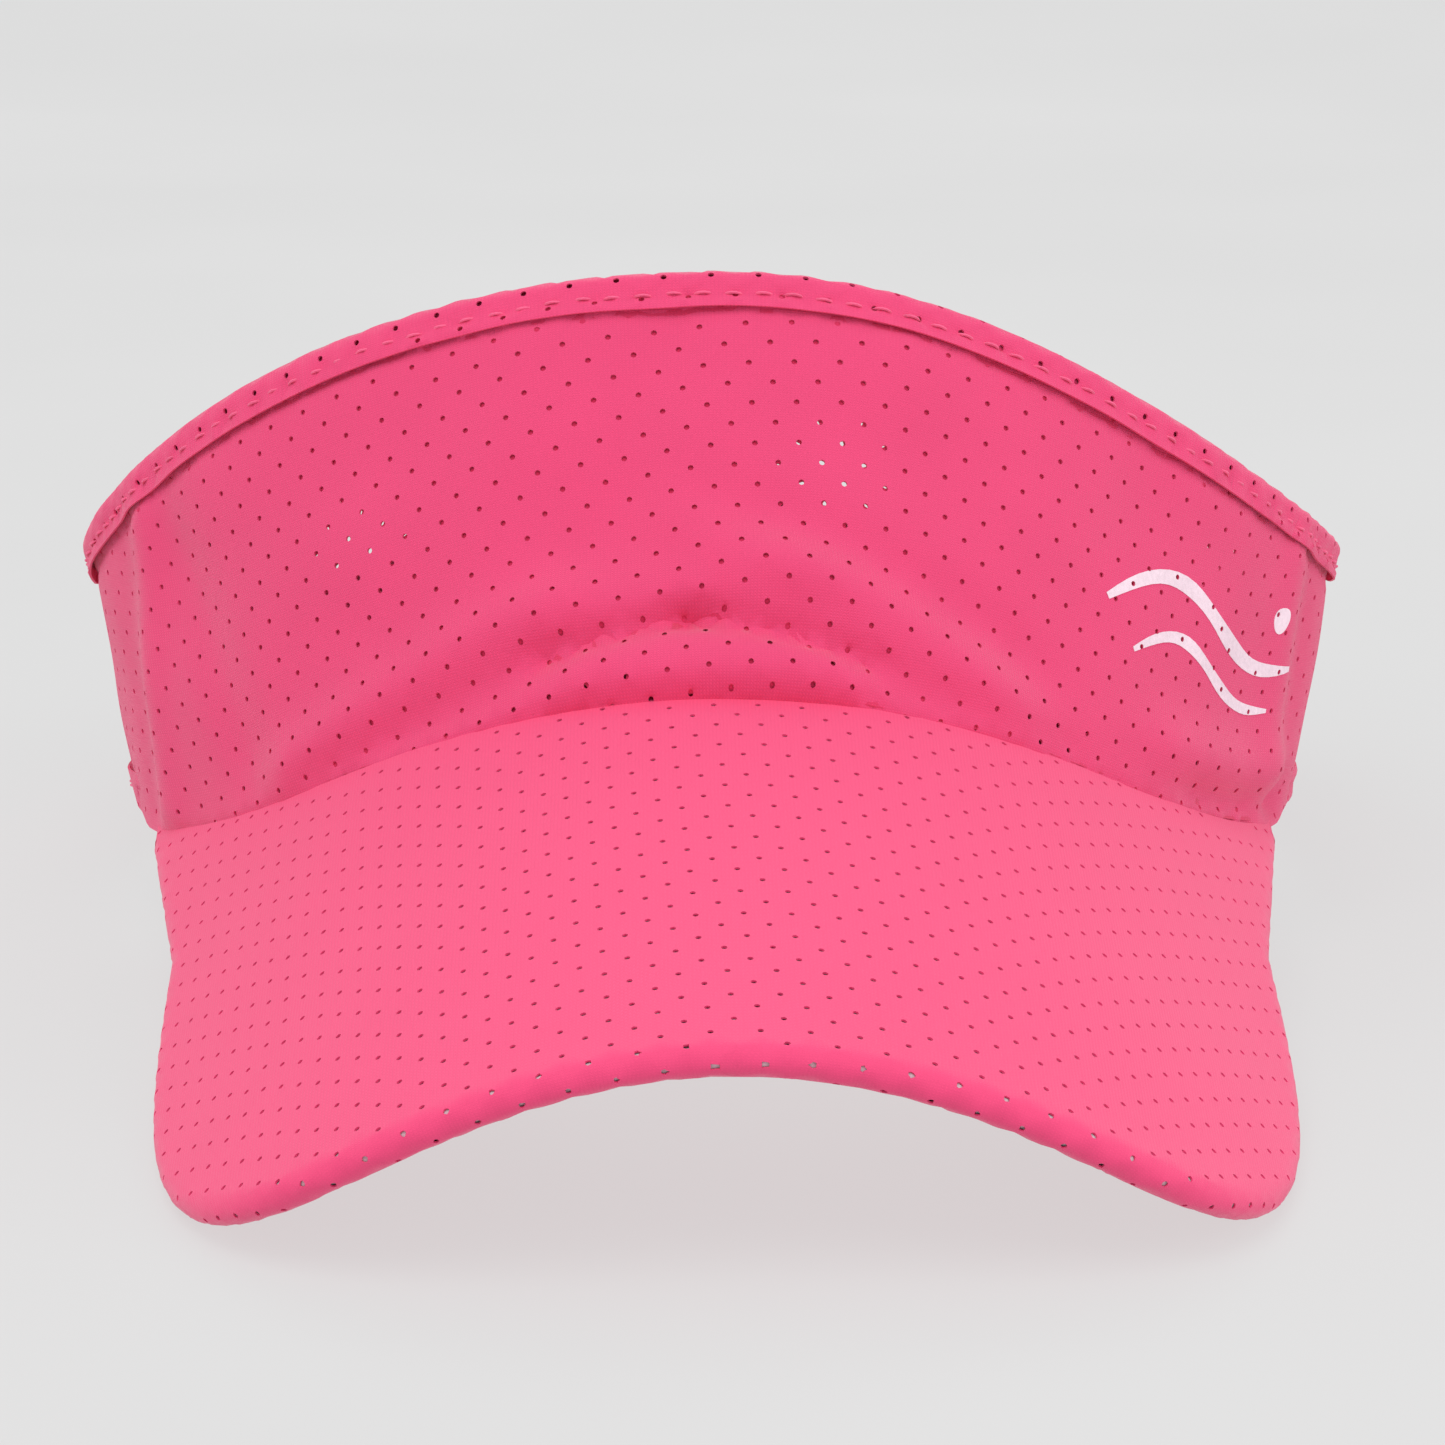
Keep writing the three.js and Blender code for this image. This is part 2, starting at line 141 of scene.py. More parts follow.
def brim_outline(side):
    """Flat outline of the brim's edge; side runs from -1 at one seam end to 1 at the other."""
    along, sign = 1 - np.abs(side), np.sign(side)
    share = np.clip(along / SIDE_SHARE, 0, 1)[:, None]
    straight = BRIM_END + share * (np.array([BRIM_HALF_OUTLINE, 0]) - BRIM_END)
    angle = np.pi / 2 * np.clip((along - SIDE_SHARE) / (1 - SIDE_SHARE), 0, 1)
    power = 2 / BRIM_ROUNDNESS
    across = np.clip(np.cos(angle), 0, 1) ** power
    length = BRIM_LENGTH + CORNER_REACH * across ** 2
    front = np.stack([BRIM_HALF_OUTLINE * across, length * np.sin(angle) ** power], 1)
    outline = np.where((along < SIDE_SHARE)[:, None], straight, front)
    return outline * np.stack([sign, np.ones_like(sign)], 1)


# ---- band surface ----
def lower_edge(t):
    angle = np.abs(t)
    u = BRIM_HALF_WIDTH * np.minimum(angle, SEAM_END_ANGLE) / SEAM_END_ANGLE
    seam = brim_point(u, seam_depth(u), 0 * u)
    share = np.clip((angle - SEAM_END_ANGLE) / (180 - SEAM_END_ANGLE), 0, 1)[:, None]
    controls = [
        brim_point(*(np.array([x]) for x in (BRIM_HALF_WIDTH, seam_depth(BRIM_HALF_WIDTH), 0.0)))[0],
        np.array([91, 95, -36]),
        np.array([73, REAR_FACE, REST_LEVEL]),
        np.array([REAR_FLAT, REAR_FACE, REST_LEVEL]),
    ]
    weights = [(1 - share) ** 3, 3 * share * (1 - share) ** 2, 3 * share ** 2 * (1 - share), share ** 3]
    rear = sum(w * c for w, c in zip(weights, controls))
    points = np.where((angle <= SEAM_END_ANGLE)[:, None], seam, rear)
    points[:, 0] = (points[:, 0] - np.maximum(angle - 180, 0)) * np.sign(t)
    return points


def upper_edge(t):
    angle = np.minimum(np.abs(t), 180)
    radians = np.radians(angle)
    turn, sine = 1 - np.cos(radians), np.sin(radians)
    back = turn - 1
    rear_drop = BAND_RISE - REST_LEVEL - STRAP_HEIGHT
    drop = np.where(back <= 0, turn * (80 - 32 * turn), 48 + 16 * back + (rear_drop - 64) * back ** 2)
    tilt = np.where(angle < 100, TOP_TILT * np.sin(1.8 * radians) ** 2 * np.sign(t), 0)
    x = np.where(back <= 0, BAND_HALF_WIDTH * sine, REAR_FLAT + (BAND_HALF_WIDTH - REAR_FLAT) * sine)
    front_y = BAND_LEAN + (BAND_MIDDLE - BAND_LEAN) * turn
    y = np.where(back <= 0, front_y, BAND_MIDDLE + (REAR_FACE - BAND_MIDDLE) * back)
    x = (x - np.maximum(np.abs(t) - 180, 0)) * np.sign(t)
    return np.stack([x, y, BAND_RISE - drop - tilt], 1)


T = np.arange(-228, 228.1, 0.25)
LOW = lower_edge(T)
RULE = upper_edge(T) - LOW
HEIGHT = np.linalg.norm(RULE, axis=1)
RULE /= HEIGHT[:, None]
MIDDLE = LOW + RULE * HEIGHT[:, None] / 2
OUT = np.cross(np.gradient(MIDDLE, axis=0), RULE)
SMOOTHING = np.hanning(33) / np.hanning(33).sum()
OUT = np.stack([np.convolve(np.pad(OUT[:, k], 16, "edge"), SMOOTHING, "valid") for k in range(3)], 1)
OUT /= np.linalg.norm(OUT, axis=1)[:, None]
S = np.concatenate([[0], np.cumsum(np.linalg.norm(np.diff(MIDDLE, axis=0), axis=1))])
S -= np.interp(0, T, S)


def along_band(t):
    """Distance along the band at oval angle t, from the front middle."""
    return float(np.interp(t, T, S))


def band_height(s):
    return np.interp(s, S, HEIGHT)


def band_axes(s):
    return [np.stack([np.interp(s, S, table[:, k]) for k in range(3)], 1) for table in (LOW, RULE, OUT)]


def band_point(s, rise, out):
    """Points of the band: s along it, rise above its lower edge, out proud of its surface."""
    low, rule, outward = band_axes(s)
    return low + rule * rise[:, None] + outward * out[:, None]


def soft_noise(x, y, x_scale, y_scale, level):
    """Smooth noise over a flat pattern."""
    return np.array([noise.noise(Vector((a / x_scale, b / y_scale, level))) for a, b in zip(x, y)])


# ---- folds of the soft band ----
# Each fold: from (s, rise), to (s, rise), half width, height (negative is a groove).
FOLDS = [
    ((-24, 8.5), (-4, 11.5), 1.8, -1.7),
    ((-4, 11.5), (20, 7.0), 1.8, -1.7),
    ((-17, 4.5), (14, 4.0), 5.0, 2.0),
    ((-22, 14.0), (6, 16.5), 4.5, 1.1),
    ((-68, 5.0), (-24, 15.0), 4.0, 1.1),
    ((-64, 1.0), (-26, 6.5), 3.0, -0.9),
    ((2, 21.0), (42, 5.5), 4.5, 1.3),
    ((8, 25.0), (40, 14.0), 4.0, -0.9),
    ((24, 4.0), (52, 2.0), 3.0, -0.7),
    ((-101, 1.0), (-93, 44.0), 4.2, 1.2),
    ((-107, 0.0), (-104, 24.0), 5.0, -0.7),
    ((103, 1.0), (98, 40.0), 4.8, 0.9),
    ((109, 0.0), (107, 26.0), 5.0, -0.8),
    ((84, 2.5), (106, 3.0), 3.0, -1.4),
    ((76, 8.0), (104, 8.5), 4.0, 1.1),
    ((-12, 30.0), (-6, 54.0), 5.0, -0.8),
    ((-30, 28.0), (-24, 50.0), 7.0, 0.7),
    ((10, 24.0), (20, 46.0), 7.0, 0.6),
    ((48, 12.0), (60, 40.0), 6.0, -0.6),
    ((-78, 10.0), (-84, 36.0), 5.0, -0.7),
    ((-140, 4.0), (-128, 28.0), 5.0, -0.8),
    ((138, 3.0), (128, 28.0), 5.0, -0.8),
    ((165, 4.0), (158, 26.0), 5.0, 0.7),
    ((-168, 4.0), (-158, 26.0), 5.0, 0.7),
]


def fold_height(s, rise):
    """Soft wrinkles of the band, as a distance outward."""
    total = np.zeros_like(s)
    for (s0, r0), (s1, r1), width, height in FOLDS:
        line = np.array([s1 - s0, r1 - r0], float)
        length = np.hypot(*line)
        line /= length
        run = (s - s0) * line[0] + (rise - r0) * line[1]
        off = (rise - r0) * line[0] - (s - s0) * line[1]
        past = np.maximum(np.maximum(-run, run - length), 0)
        total += height * bell(off, width) * bell(past, 2.2 * width)
    slow = soft_noise(s, rise, 26, 18, 3.7)
    height = band_height(s)
    edges = smoothstep(-1, 3, rise) * smoothstep(-1, 7, height - rise)
    return (1.2 * total + 1.15 * slow) * edges


# ---- meshes ----
def new_piece(name, vertices, faces, flat=None, sharp_angle=50):
    """A mesh object from points in millimetres; flat holds a flat position per vertex, kept as a UV map."""
    mesh = bpy.data.meshes.new(name)
    mesh.from_pydata(to_frame(vertices).tolist(), [], [list(map(int, f)) for f in faces])
    if flat is not None:
        layer = mesh.uv_layers.new(name="flat")
        loops = np.zeros(len(mesh.loops), np.int32)
        mesh.loops.foreach_get("vertex_index", loops)
        layer.data.foreach_set("uv", (np.asarray(flat, np.float32)[loops] / 100).ravel())
    mesh.validate()
    mesh.polygons.foreach_set("use_smooth", [True] * len(mesh.polygons))
    mesh.set_sharp_from_angle(angle=math.radians(sharp_angle))
    piece = bpy.data.objects.new(name, mesh)
    bpy.context.scene.collection.objects.link(piece)
    return piece


def closed_sheet(name, outer, inner, flat, faces, rim):
    """A closed sheet: its outer and inner faces, and walls along the directed edges of its rim."""
    count = len(flat)
    walls = np.stack([rim[:, 1], rim[:, 0], rim[:, 0] + count, rim[:, 1] + count], 1)
    faces = faces.tolist() + (faces[:, ::-1] + count).tolist() + walls.tolist()
    return new_piece(name, np.concatenate([outer, inner]), faces, np.concatenate([flat, flat]))


def thick_sheet(name, flat, triangles, place, thickness):
    """A closed sheet from flat triangles: both faces, and walls round the outline and every hole."""
    count = len(flat)
    outer = place(flat[:, 0], flat[:, 1], 0.0)
    inner = place(flat[:, 0], flat[:, 1], -thickness)
    edges = np.concatenate([triangles[:, [0, 1]], triangles[:, [1, 2]], triangles[:, [2, 0]]])
    keys = edges[:, 0].astype(np.int64) * count + edges[:, 1]
    twins = edges[:, 1].astype(np.int64) * count + edges[:, 0]
    return closed_sheet(name, outer, inner, flat, triangles, edges[~np.isin(twins, keys)])


def inside(points, outline):
    """Which points lie inside a closed outline."""
    x, y = points[:, 0], points[:, 1]
    result = np.zeros(len(points), bool)
    x1, y1 = outline[-1]
    for x0, y0 in outline:
        if y0 != y1:
            crosses = ((y0 > y) != (y1 > y)) & (x < (x1 - x0) * (y - y0) / (y1 - y0) + x0)
            result ^= crosses
        x1, y1 = x0, y0
    return result


def distance_to(points, others):
    """Distance of each point to the nearest of some others, such as a densely sampled outline."""
    best = np.full(len(points), 1e9)
    for chunk in np.array_split(np.arange(len(others)), max(1, len(others) // 64)):
        d = np.hypot(*(points[:, None, :] - others[None, chunk]).transpose(2, 0, 1))
        best = np.minimum(best, d.min(1))
    return best


def hole_grid(outline, turn, origin, pitch=HOLE_PITCH):
    """Centres of a centred-square grid of holes inside an outline, its rows turned by an angle."""
    low, high = outline.min(0), outline.max(0)
    reach = int(np.hypot(*(high - low)) / pitch) + 3
    column, row = np.meshgrid(np.arange(-reach, reach + 1), np.arange(-2 * reach, 2 * reach + 1))
    x = (column + 0.5 * (row % 2)) * pitch
    y = row * pitch / 2
    grid = np.stack([x.ravel(), y.ravel()], 1)
    cosine, sine = math.cos(turn), math.sin(turn)
    return grid @ np.array([[cosine, sine], [-sine, cosine]]) + origin


def perforated(name, outline, grid, place, thickness, radius=HOLE_RADIUS, extra=()):
    """A thin fabric sheet with real holes, made flat and then placed. Returns it with its flat triangles."""
    margin = distance_to(grid, outline)
    within = inside(grid, outline)
    holes = grid[within & (margin > radius + HOLE_MARGIN)]
    turns = np.radians(np.arange(0, 360, 45))
    ring = np.stack([np.cos(turns), np.sin(turns)], 1)
    half = np.stack([np.cos(turns + np.pi / 8), np.sin(turns + np.pi / 8)], 1)
    rims = (holes[:, None] + radius * ring).reshape(-1, 2)
    around = (holes[:, None] + 1.15 * half).reshape(-1, 2)
    between = grid + np.array([HOLE_PITCH / 2, 0])
    filler = np.concatenate([around, between, grid[within & (margin <= radius + HOLE_MARGIN)]])
    filler = filler[inside(filler, outline)]
    filler = filler[distance_to(filler, outline) > 0.45]
    corners = [outline, rims, filler]
    loops = [np.arange(len(outline))]
    start = len(outline)
    loops += list(start + np.arange(len(rims)).reshape(-1, 8))
    start += len(rims) + len(filler)
    for shape in extra:
        corners.append(shape)
        loops.append(start + np.arange(len(shape)))
        start += len(shape)
    edges = [(int(a), int(b)) for loop in loops for a, b in zip(loop, np.roll(loop, -1))]
    points = np.concatenate(corners)
    result = delaunay_2d_cdt([Vector(p) for p in points.tolist()], edges, [], 0, 1e-4, False)
    flat = np.array([tuple(v) for v in result[0]])
    triangles = np.array([f for f in result[2] if len(f) == 3], int)
    middle = flat[triangles].mean(1)
    keep = inside(middle, outline)
    if len(holes):
        keep &= distance_to(middle, holes) > radius * 0.93
    triangles = triangles[keep]
    a, b, c = (flat[triangles[:, k]] for k in range(3))
    area = np.cross(b - a, c - a)
    triangles = triangles[np.abs(area) > 1e-6]
    area = area[np.abs(area) > 1e-6]
    triangles[area < 0] = triangles[area < 0][:, ::-1]
    piece = thick_sheet(name, flat, triangles, place, thickness)
    return piece, flat, triangles


def grid_sheet(name, columns, rows, place, flat_size=(1.0, 1.0)):
    """A closed sheet from a regular grid: place(a, b, outer) maps shares 0..1 to points, outer 1 or 0."""
    a, b = np.meshgrid(np.linspace(0, 1, columns + 1), np.linspace(0, 1, rows + 1))
    a, b = a.ravel(), b.ravel()
    count = len(a)
    index = np.arange(count).reshape(rows + 1, columns + 1)
    quads = np.stack([index[:-1, :-1], index[:-1, 1:], index[1:, 1:], index[1:, :-1]], -1).reshape(-1, 4)
    rim = np.concatenate([index[0, :], index[1:, -1], index[-1, -2::-1], index[-2:0:-1, 0]])
    flat = np.stack([a * flat_size[0], b * flat_size[1]], 1)
    outer, inner = place(a, b, 1.0), place(a, b, 0.0)
    return closed_sheet(name, outer, inner, flat, quads, np.stack([rim, np.roll(rim, -1)], 1))


def threads(name, paths, radius, sides=6):
    """One mesh of separate stitches; each path is a short polyline in millimetres."""
    vertices, faces = [], []
    for path in paths:
        path = np.asarray(path, float)
        tangent = np.gradient(path, axis=0)
        tangent /= np.linalg.norm(tangent, axis=1)[:, None] + 1e-9
        helper = np.array([0.3, 0.2, 0.93])
        first = np.cross(tangent, helper)
        first /= np.linalg.norm(first, axis=1)[:, None]
        second = np.cross(tangent, first)
        start = len(vertices)
        ends = np.linspace(-1, 1, len(path))
        girth = radius * np.sqrt(np.clip(1.02 - ends ** 6, 0.05, 1))
        for k in range(len(path)):
            for j in range(sides):
                angle = 2 * math.pi * j / sides
                offset = first[k] * math.cos(angle) + second[k] * math.sin(angle)
                vertices.append(path[k] + offset * girth[k])
        for k in range(len(path) - 1):
            for j in range(sides):
                a, b = start + k * sides + j, start + k * sides + (j + 1) % sides
                faces.append((a, b, b + sides, a + sides))
        faces.append([start + j for j in range(sides)][::-1])
        faces.append([start + (len(path) - 1) * sides + j for j in range(sides)])
    return new_piece(name, np.array(vertices), faces)


def stitch_runs(start, end, first=0.14, last=0.84):
    """Six places along each stitch of a row."""
    count = max(int(abs(end - start) / STITCH_PITCH), 1)
    return [start + (end - start) * np.linspace(k + first, k + last, 6) / count for k in range(count)]


# ---- materials ----
class Nodes:
    """Short helper for building a node tree."""

    def __init__(self, name):
        self.material = bpy.data.materials.new(name)
        self.material.use_nodes = True
        self.tree = self.material.node_tree
        self.shader = self.tree.nodes["Principled BSDF"]

    def add(self, kind, **settings):
        node = self.tree.nodes.new(kind)
        for key, value in settings.items():
            setattr(node, key, value)
        return node

    def link(self, source, target):
        self.tree.links.new(source, target)

    def math(self, operation, first, second=None):
        node = self.add("ShaderNodeMath", operation=operation)
        for socket, value in zip(node.inputs, (first, second)):
            if value is None:
                continue
            if isinstance(value, (int, float)):
                socket.default_value = value
            else:
                self.link(value, socket)
        return node.outputs[0]

    def noise(self, vector, scale, detail=3.0, roughness=0.5):
        node = self.add("ShaderNodeTexNoise")
        node.inputs["Scale"].default_value = scale
        node.inputs["Detail"].default_value = detail
        node.inputs["Roughness"].default_value = roughness
        self.link(vector, node.inputs["Vector"])
        return node.outputs["Fac"]

    def ramp(self, factor, dark, light, low=0.3, high=0.7):
        node = self.add("ShaderNodeValToRGB")
        node.color_ramp.elements[0].position = low
        node.color_ramp.elements[1].position = high
        node.color_ramp.elements[0].color = (*dark, 1)
        node.color_ramp.elements[1].color = (*light, 1)
        self.link(factor, node.inputs["Fac"])
        return node.outputs["Color"]

    def bump(self, height, distance, strength=1.0):
        node = self.add("ShaderNodeBump")
        node.inputs["Distance"].default_value = distance
        node.inputs["Strength"].default_value = strength
        self.link(height, node.inputs["Height"])
        self.link(node.outputs["Normal"], self.shader.inputs["Normal"])


def linear(red, green, blue):
    """An 8-bit sRGB colour as linear values."""
    values = np.array([red, green, blue]) / 255
    return tuple(np.where(values <= 0.04045, values / 12.92, ((values + 0.055) / 1.055) ** 2.4).tolist())


def shade(colour, factor):
    return tuple(min(c * factor, 1.0) for c in colour)


def knit_material(name, colour, wale=0.46, course=0.34, depth=0.00006, roughness=0.78, sheen=0.25, soft=0.12):
    """Fine warp knit: rows of small V-shaped stitches in flat-pattern millimetres, with slow colour drift."""
    n = Nodes(name)
    uv = n.add("ShaderNodeUVMap", uv_map="flat")
    split = n.add("ShaderNodeSeparateXYZ")
    n.link(uv.outputs["UV"], split.inputs[0])
    column = n.math("MULTIPLY", split.outputs[0], 100 / wale)
    row = n.math("MULTIPLY", split.outputs[1], 100 / course)
    share = n.math("FRACT", column)
    lean = n.math("ABSOLUTE", n.math("SUBTRACT", share, 0.5))
    rib = n.math("SINE", n.math("MULTIPLY", share, math.pi))
    wave = n.math("SINE", n.math("MULTIPLY", n.math("ADD", row, n.math("MULTIPLY", lean, 1.3)), 2 * math.pi))
    stitch = n.math("MULTIPLY", rib, n.math("ADD", n.math("MULTIPLY", wave, 0.5), 0.5))
    drift = n.noise(uv.outputs["UV"], 9.0, 4.0)
    fibre = n.noise(uv.outputs["UV"], 420.0, 2.0)
    mixed = n.math("ADD", n.math("MULTIPLY", stitch, 0.42), n.math("MULTIPLY", fibre, 0.36))
    mixed = n.math("ADD", mixed, n.math("MULTIPLY", drift, 0.3))
    colours = n.ramp(mixed, shade(colour, 1 - soft), shade(colour, 1 + soft * 0.7), 0.2, 0.85)
    n.link(colours, n.shader.inputs["Base Color"])
    n.shader.inputs["Roughness"].default_value = roughness
    n.shader.inputs["Sheen Weight"].default_value = sheen
    n.shader.inputs["Sheen Roughness"].default_value = 0.45
    n.shader.inputs["Specular IOR Level"].default_value = 0.3
    height = n.math("ADD", stitch, n.math("MULTIPLY", fibre, 0.5))
    n.bump(height, depth, 0.75)
    return n.material


def rough_material(name, colour, scale, depth, roughness=0.9, sheen=0.0, spread=0.2, kind="noise"):
    """Foam, terry, pile, tape or ink: a mottled colour and a bump from noise or cells, in object space."""
    n = Nodes(name)
    place = n.add("ShaderNodeTexCoord").outputs["Object"]
    if kind == "cells":
        cells = n.add("ShaderNodeTexVoronoi")
        cells.inputs["Scale"].default_value = scale
        n.link(place, cells.inputs["Vector"])
        height = cells.outputs["Distance"]
    else:
        height = n.noise(place, scale, 4.0, 0.6)
    blotch = n.noise(place, scale / 14, 3.0)
    mixed = n.math("ADD", n.math("MULTIPLY", height, 0.6), n.math("MULTIPLY", blotch, 0.4))
    colours = n.ramp(mixed, shade(colour, 1 - spread), shade(colour, 1 + spread / 2))
    n.link(colours, n.shader.inputs["Base Color"])
    n.shader.inputs["Roughness"].default_value = roughness
    n.shader.inputs["Sheen Weight"].default_value = sheen
    n.bump(height, depth, 0.8)
    return n.material


def woven_material(name, colour, pitch=0.7, depth=0.00009, roughness=0.7, spread=0.16):
    """Plain weave of tape, strap or label: two crossing sets of yarns in object space."""
    n = Nodes(name)
    split = n.add("ShaderNodeSeparateXYZ")
    n.link(n.add("ShaderNodeTexCoord").outputs["Object"], split.inputs[0])
    turns = 2 * math.pi / (pitch * MM)
    sideways = n.math("ADD", split.outputs[0], split.outputs[1])
    across = n.math("SINE", n.math("MULTIPLY", sideways, turns * 0.8))
    along = n.math("SINE", n.math("MULTIPLY", split.outputs[2], turns))
    weave = n.math("ADD", n.math("MULTIPLY", n.math("MULTIPLY", across, along), 0.5), 0.5)
    fibre = n.noise(n.add("ShaderNodeTexCoord").outputs["Object"], 2600.0, 2.0)
    mixed = n.math("ADD", n.math("MULTIPLY", weave, 0.55), n.math("MULTIPLY", fibre, 0.45))
    colours = n.ramp(mixed, shade(colour, 1 - spread), shade(colour, 1 + spread / 2))
    n.link(colours, n.shader.inputs["Base Color"])
    n.shader.inputs["Roughness"].default_value = roughness
    n.shader.inputs["Sheen Weight"].default_value = 0.15
    n.bump(mixed, depth, 0.8)
    return n.material


PINK = linear(234, 70, 121)
# The brim's pink is lighter than the band's PINK: painted light on the brim's upward face.
BRIM_LIT_PINK = linear(240, 70, 123)
# DEEP_PINK colours the tape and the elastic; on the lining it is painted shade on the inner layer.
DEEP_PINK = linear(222, 52, 100)

MATERIALS = {
    "knit_band": knit_material("band_knit", PINK),
    # The lining is the band knit drawn in the deeper pink: painted shade on the layer behind the holes.
    "knit_lining": knit_material("lining_knit", DEEP_PINK),
    # The binding is the band knit drawn 3% lighter: painted light on the folded top edge.
    "knit_binding": knit_material("binding_knit", shade(PINK, 1.03)),
    # brim_knit uses the lighter brim pink: painted light on the brim's upward face.
    "knit_brim": knit_material("brim_knit", BRIM_LIT_PINK, depth=0.00003, roughness=0.66, soft=0.07),
    # The under cover is the brim pink darkened by 0.92: painted shade on the brim's downward face.
    "brim_lining": knit_material("brim_lining_knit", shade(BRIM_LIT_PINK, 0.92), depth=0.00003, soft=0.08),
    "brim_foam": rough_material("brim_foam", linear(216, 200, 208), 900, 0.00004),
    "foam": rough_material("pad_foam", linear(205, 200, 202), 700, 0.0001, kind="cells"),
    "terry": rough_material("terry_loops", linear(226, 70, 118), 1300, 0.00035, sheen=0.5, kind="cells"),
    "tape": woven_material("seam_tape", DEEP_PINK),
    "strap": knit_material("strap_knit", shade(PINK, 0.98), soft=0.14),
    "elastic": woven_material("ruched_elastic", DEEP_PINK, pitch=0.9, depth=0.00016),
    "loop_pile": rough_material("loop_pile", linear(222, 66, 112), 1900, 0.0004, sheen=0.6, spread=0.3),
    "hook_tape": rough_material("hook_tape", linear(212, 58, 104), 1500, 0.0002, 0.5),
    # The thread is drawn lighter than the band pink: a painted highlight, so stitches lying in the shade of
    # their groove read as lit ridges.
    "thread": rough_material("thread", linear(244, 92, 138), 3000, 0.00005, 0.6, sheen=0.2),
    "print_ink": rough_material("white_ink", linear(243, 218, 230), 1500, 0.00003, 0.6, spread=0.16),
    "label": woven_material("blank_label", linear(240, 238, 238), pitch=0.5, depth=0.00004, spread=0.05),
}


def finish_piece(piece, slot, body="root", replaces=(), material=None):
    """Gives a piece its material, picked by slot unless material is given, its body, and hides the CAD nodes
    that it stands for.
    """
    piece.data.materials.clear()
    piece.data.materials.append(MATERIALS[material or slot])
    if replaces:
        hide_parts(*replaces)
    if body:
        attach(piece, body)
    return piece


def declare_sheet(piece, flat, triangles, held="stretched", with_pieces=()):
    """Takes the box of a perforated sheet's flat pattern and keeps nothing."""
    size = flat[np.unique(triangles)].max(0) - flat[np.unique(triangles)].min(0)
    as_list(with_pieces)


# ---- band pieces ----
GRID_TURN = math.radians(4.0)
GRID_ORIGIN = np.array([13.0, 33.0])
LINING_TURN = GRID_TURN + math.radians(4.9)
BINDING = 5.4
SHELL_S = along_band(SHELL_END)


SEAM_END = along_band(SEAM_END_ANGLE)
SEAM_OVERLAP = 0.5  # how far the shell's lower edge sinks into the brim seam


def band_outline(start, end, low, high, overlap=0.0, step=2.0):
    """Flat outline of a stretch of the band; low and high are margins inside its two edges."""
    s = np.linspace(start, end, int(abs(end - start) / step) + 1)
    at_seam = smoothstep(SEAM_END + 9, SEAM_END + 3, np.abs(s))
    bottom = np.stack([s, low - (low + overlap) * at_seam * (overlap > 0)], 1)
    top = np.stack([s[::-1], band_height(s[::-1]) - high], 1)
    ends = []
    for at, a, b in ((end, bottom[-1, 1], top[0, 1]), (start, top[-1, 1], bottom[0, 1])):
        rise = np.linspace(a, b, int(abs(b - a) / step) + 1)[1:-1]
        ends.append(np.stack([at + 0 * rise, rise], 1))
    return np.concatenate([bottom, ends[0], top, ends[1]])


def seam_roll(s, rise):
    """The band's lower edge turns inward along the brim seam."""
    front = smoothstep(SEAM_END - 2, SEAM_END - 14, np.abs(s))
    return -0.22 * np.maximum(1.8 - rise, 0) ** 2 * front


def binding_dent(s, rise):
    """The sewn binding draws the shell in along its lower edge."""
    return -0.5 * bell(band_height(s) - rise - BINDING - 0.1, 1.0)


def shell_place(s, rise, lift):
    out = fold_height(s, rise) + seam_roll(s, rise) + binding_dent(s, rise) + lift
    return band_point(s, rise, out)


def lining_place(s, rise, lift):
    return band_point(s, rise, fold_height(s, rise) - LINING_DEPTH + lift)


WAVES = {
    "print_wave_upper": ((57.0, 25.0), (101.0, 22.5), 4.2, 1.25),
    "print_wave_lower": ((63.0, 19.0), (97.0, 16.5), 3.0, 0.95),
}


def wave_outline(start, end, sway, width, steps=26):
    """A tapering brush wave between two flat points."""
    share = np.linspace(0, 1, steps)
    start, end = np.array(start), np.array(end)
    line = start + share[:, None] * (end - start)
    line[:, 1] += sway * np.sin(2 * np.pi * share) * (1 - 0.35 * share) + sway * 0.9 * np.sin(np.pi * share)
    across = np.gradient(line, axis=0)
    across = np.stack([-across[:, 1], across[:, 0]], 1) / np.hypot(*across.T)[:, None]
    taper = 0.1 + 0.9 * np.sin(np.pi * np.clip(0.06 + 0.9 * share, 0, 1)) ** 0.7
    taper *= 1 + 0.12 * np.sin(9 * share + start[0]) + 0.07 * np.sin(23 * share)
    edge = across * (width * taper)[:, None]
    return np.concatenate([line - edge, (line + edge)[::-1]])


def dot_outline(centre=(95.8, 29.5), radius=1.9):
    turns = np.linspace(0, 2 * np.pi, 24, endpoint=False)
    wobble = radius * (1 + 0.06 * np.sin(3 * turns))
    return np.stack([centre[0] + wobble * np.cos(turns), centre[1] + wobble * np.sin(turns)], 1)


def print_shapes():
    shapes = {name: wave_outline(*args) for name, args in WAVES.items()}
    shapes["print_dot"] = dot_outline()
    return shapes


def make_shell():
    """Outer layer of the band, and the white print lying on it with the same holes through it."""
    shapes = print_shapes()
    outline = band_outline(-SHELL_S, SHELL_S, 0.8, 1.2, SEAM_OVERLAP)
    grid = hole_grid(outline, GRID_TURN, GRID_ORIGIN)
    shell, flat, triangles = perforated(
        "band_outer", outline, grid, shell_place, KNIT, extra=list(shapes.values()))
    finish_piece(shell, "knit_band", replaces=["band_shell"])
    middle = flat[triangles].mean(1)
    for name, shape in shapes.items():
        film = thick_sheet(name + "_film", flat, triangles[inside(middle, shape)],
                           lambda s, r, lift: shell_place(s, r, lift + 0.1), 0.08)
        finish_piece(film, "print_ink", replaces=[name])
    return shell, flat, triangles


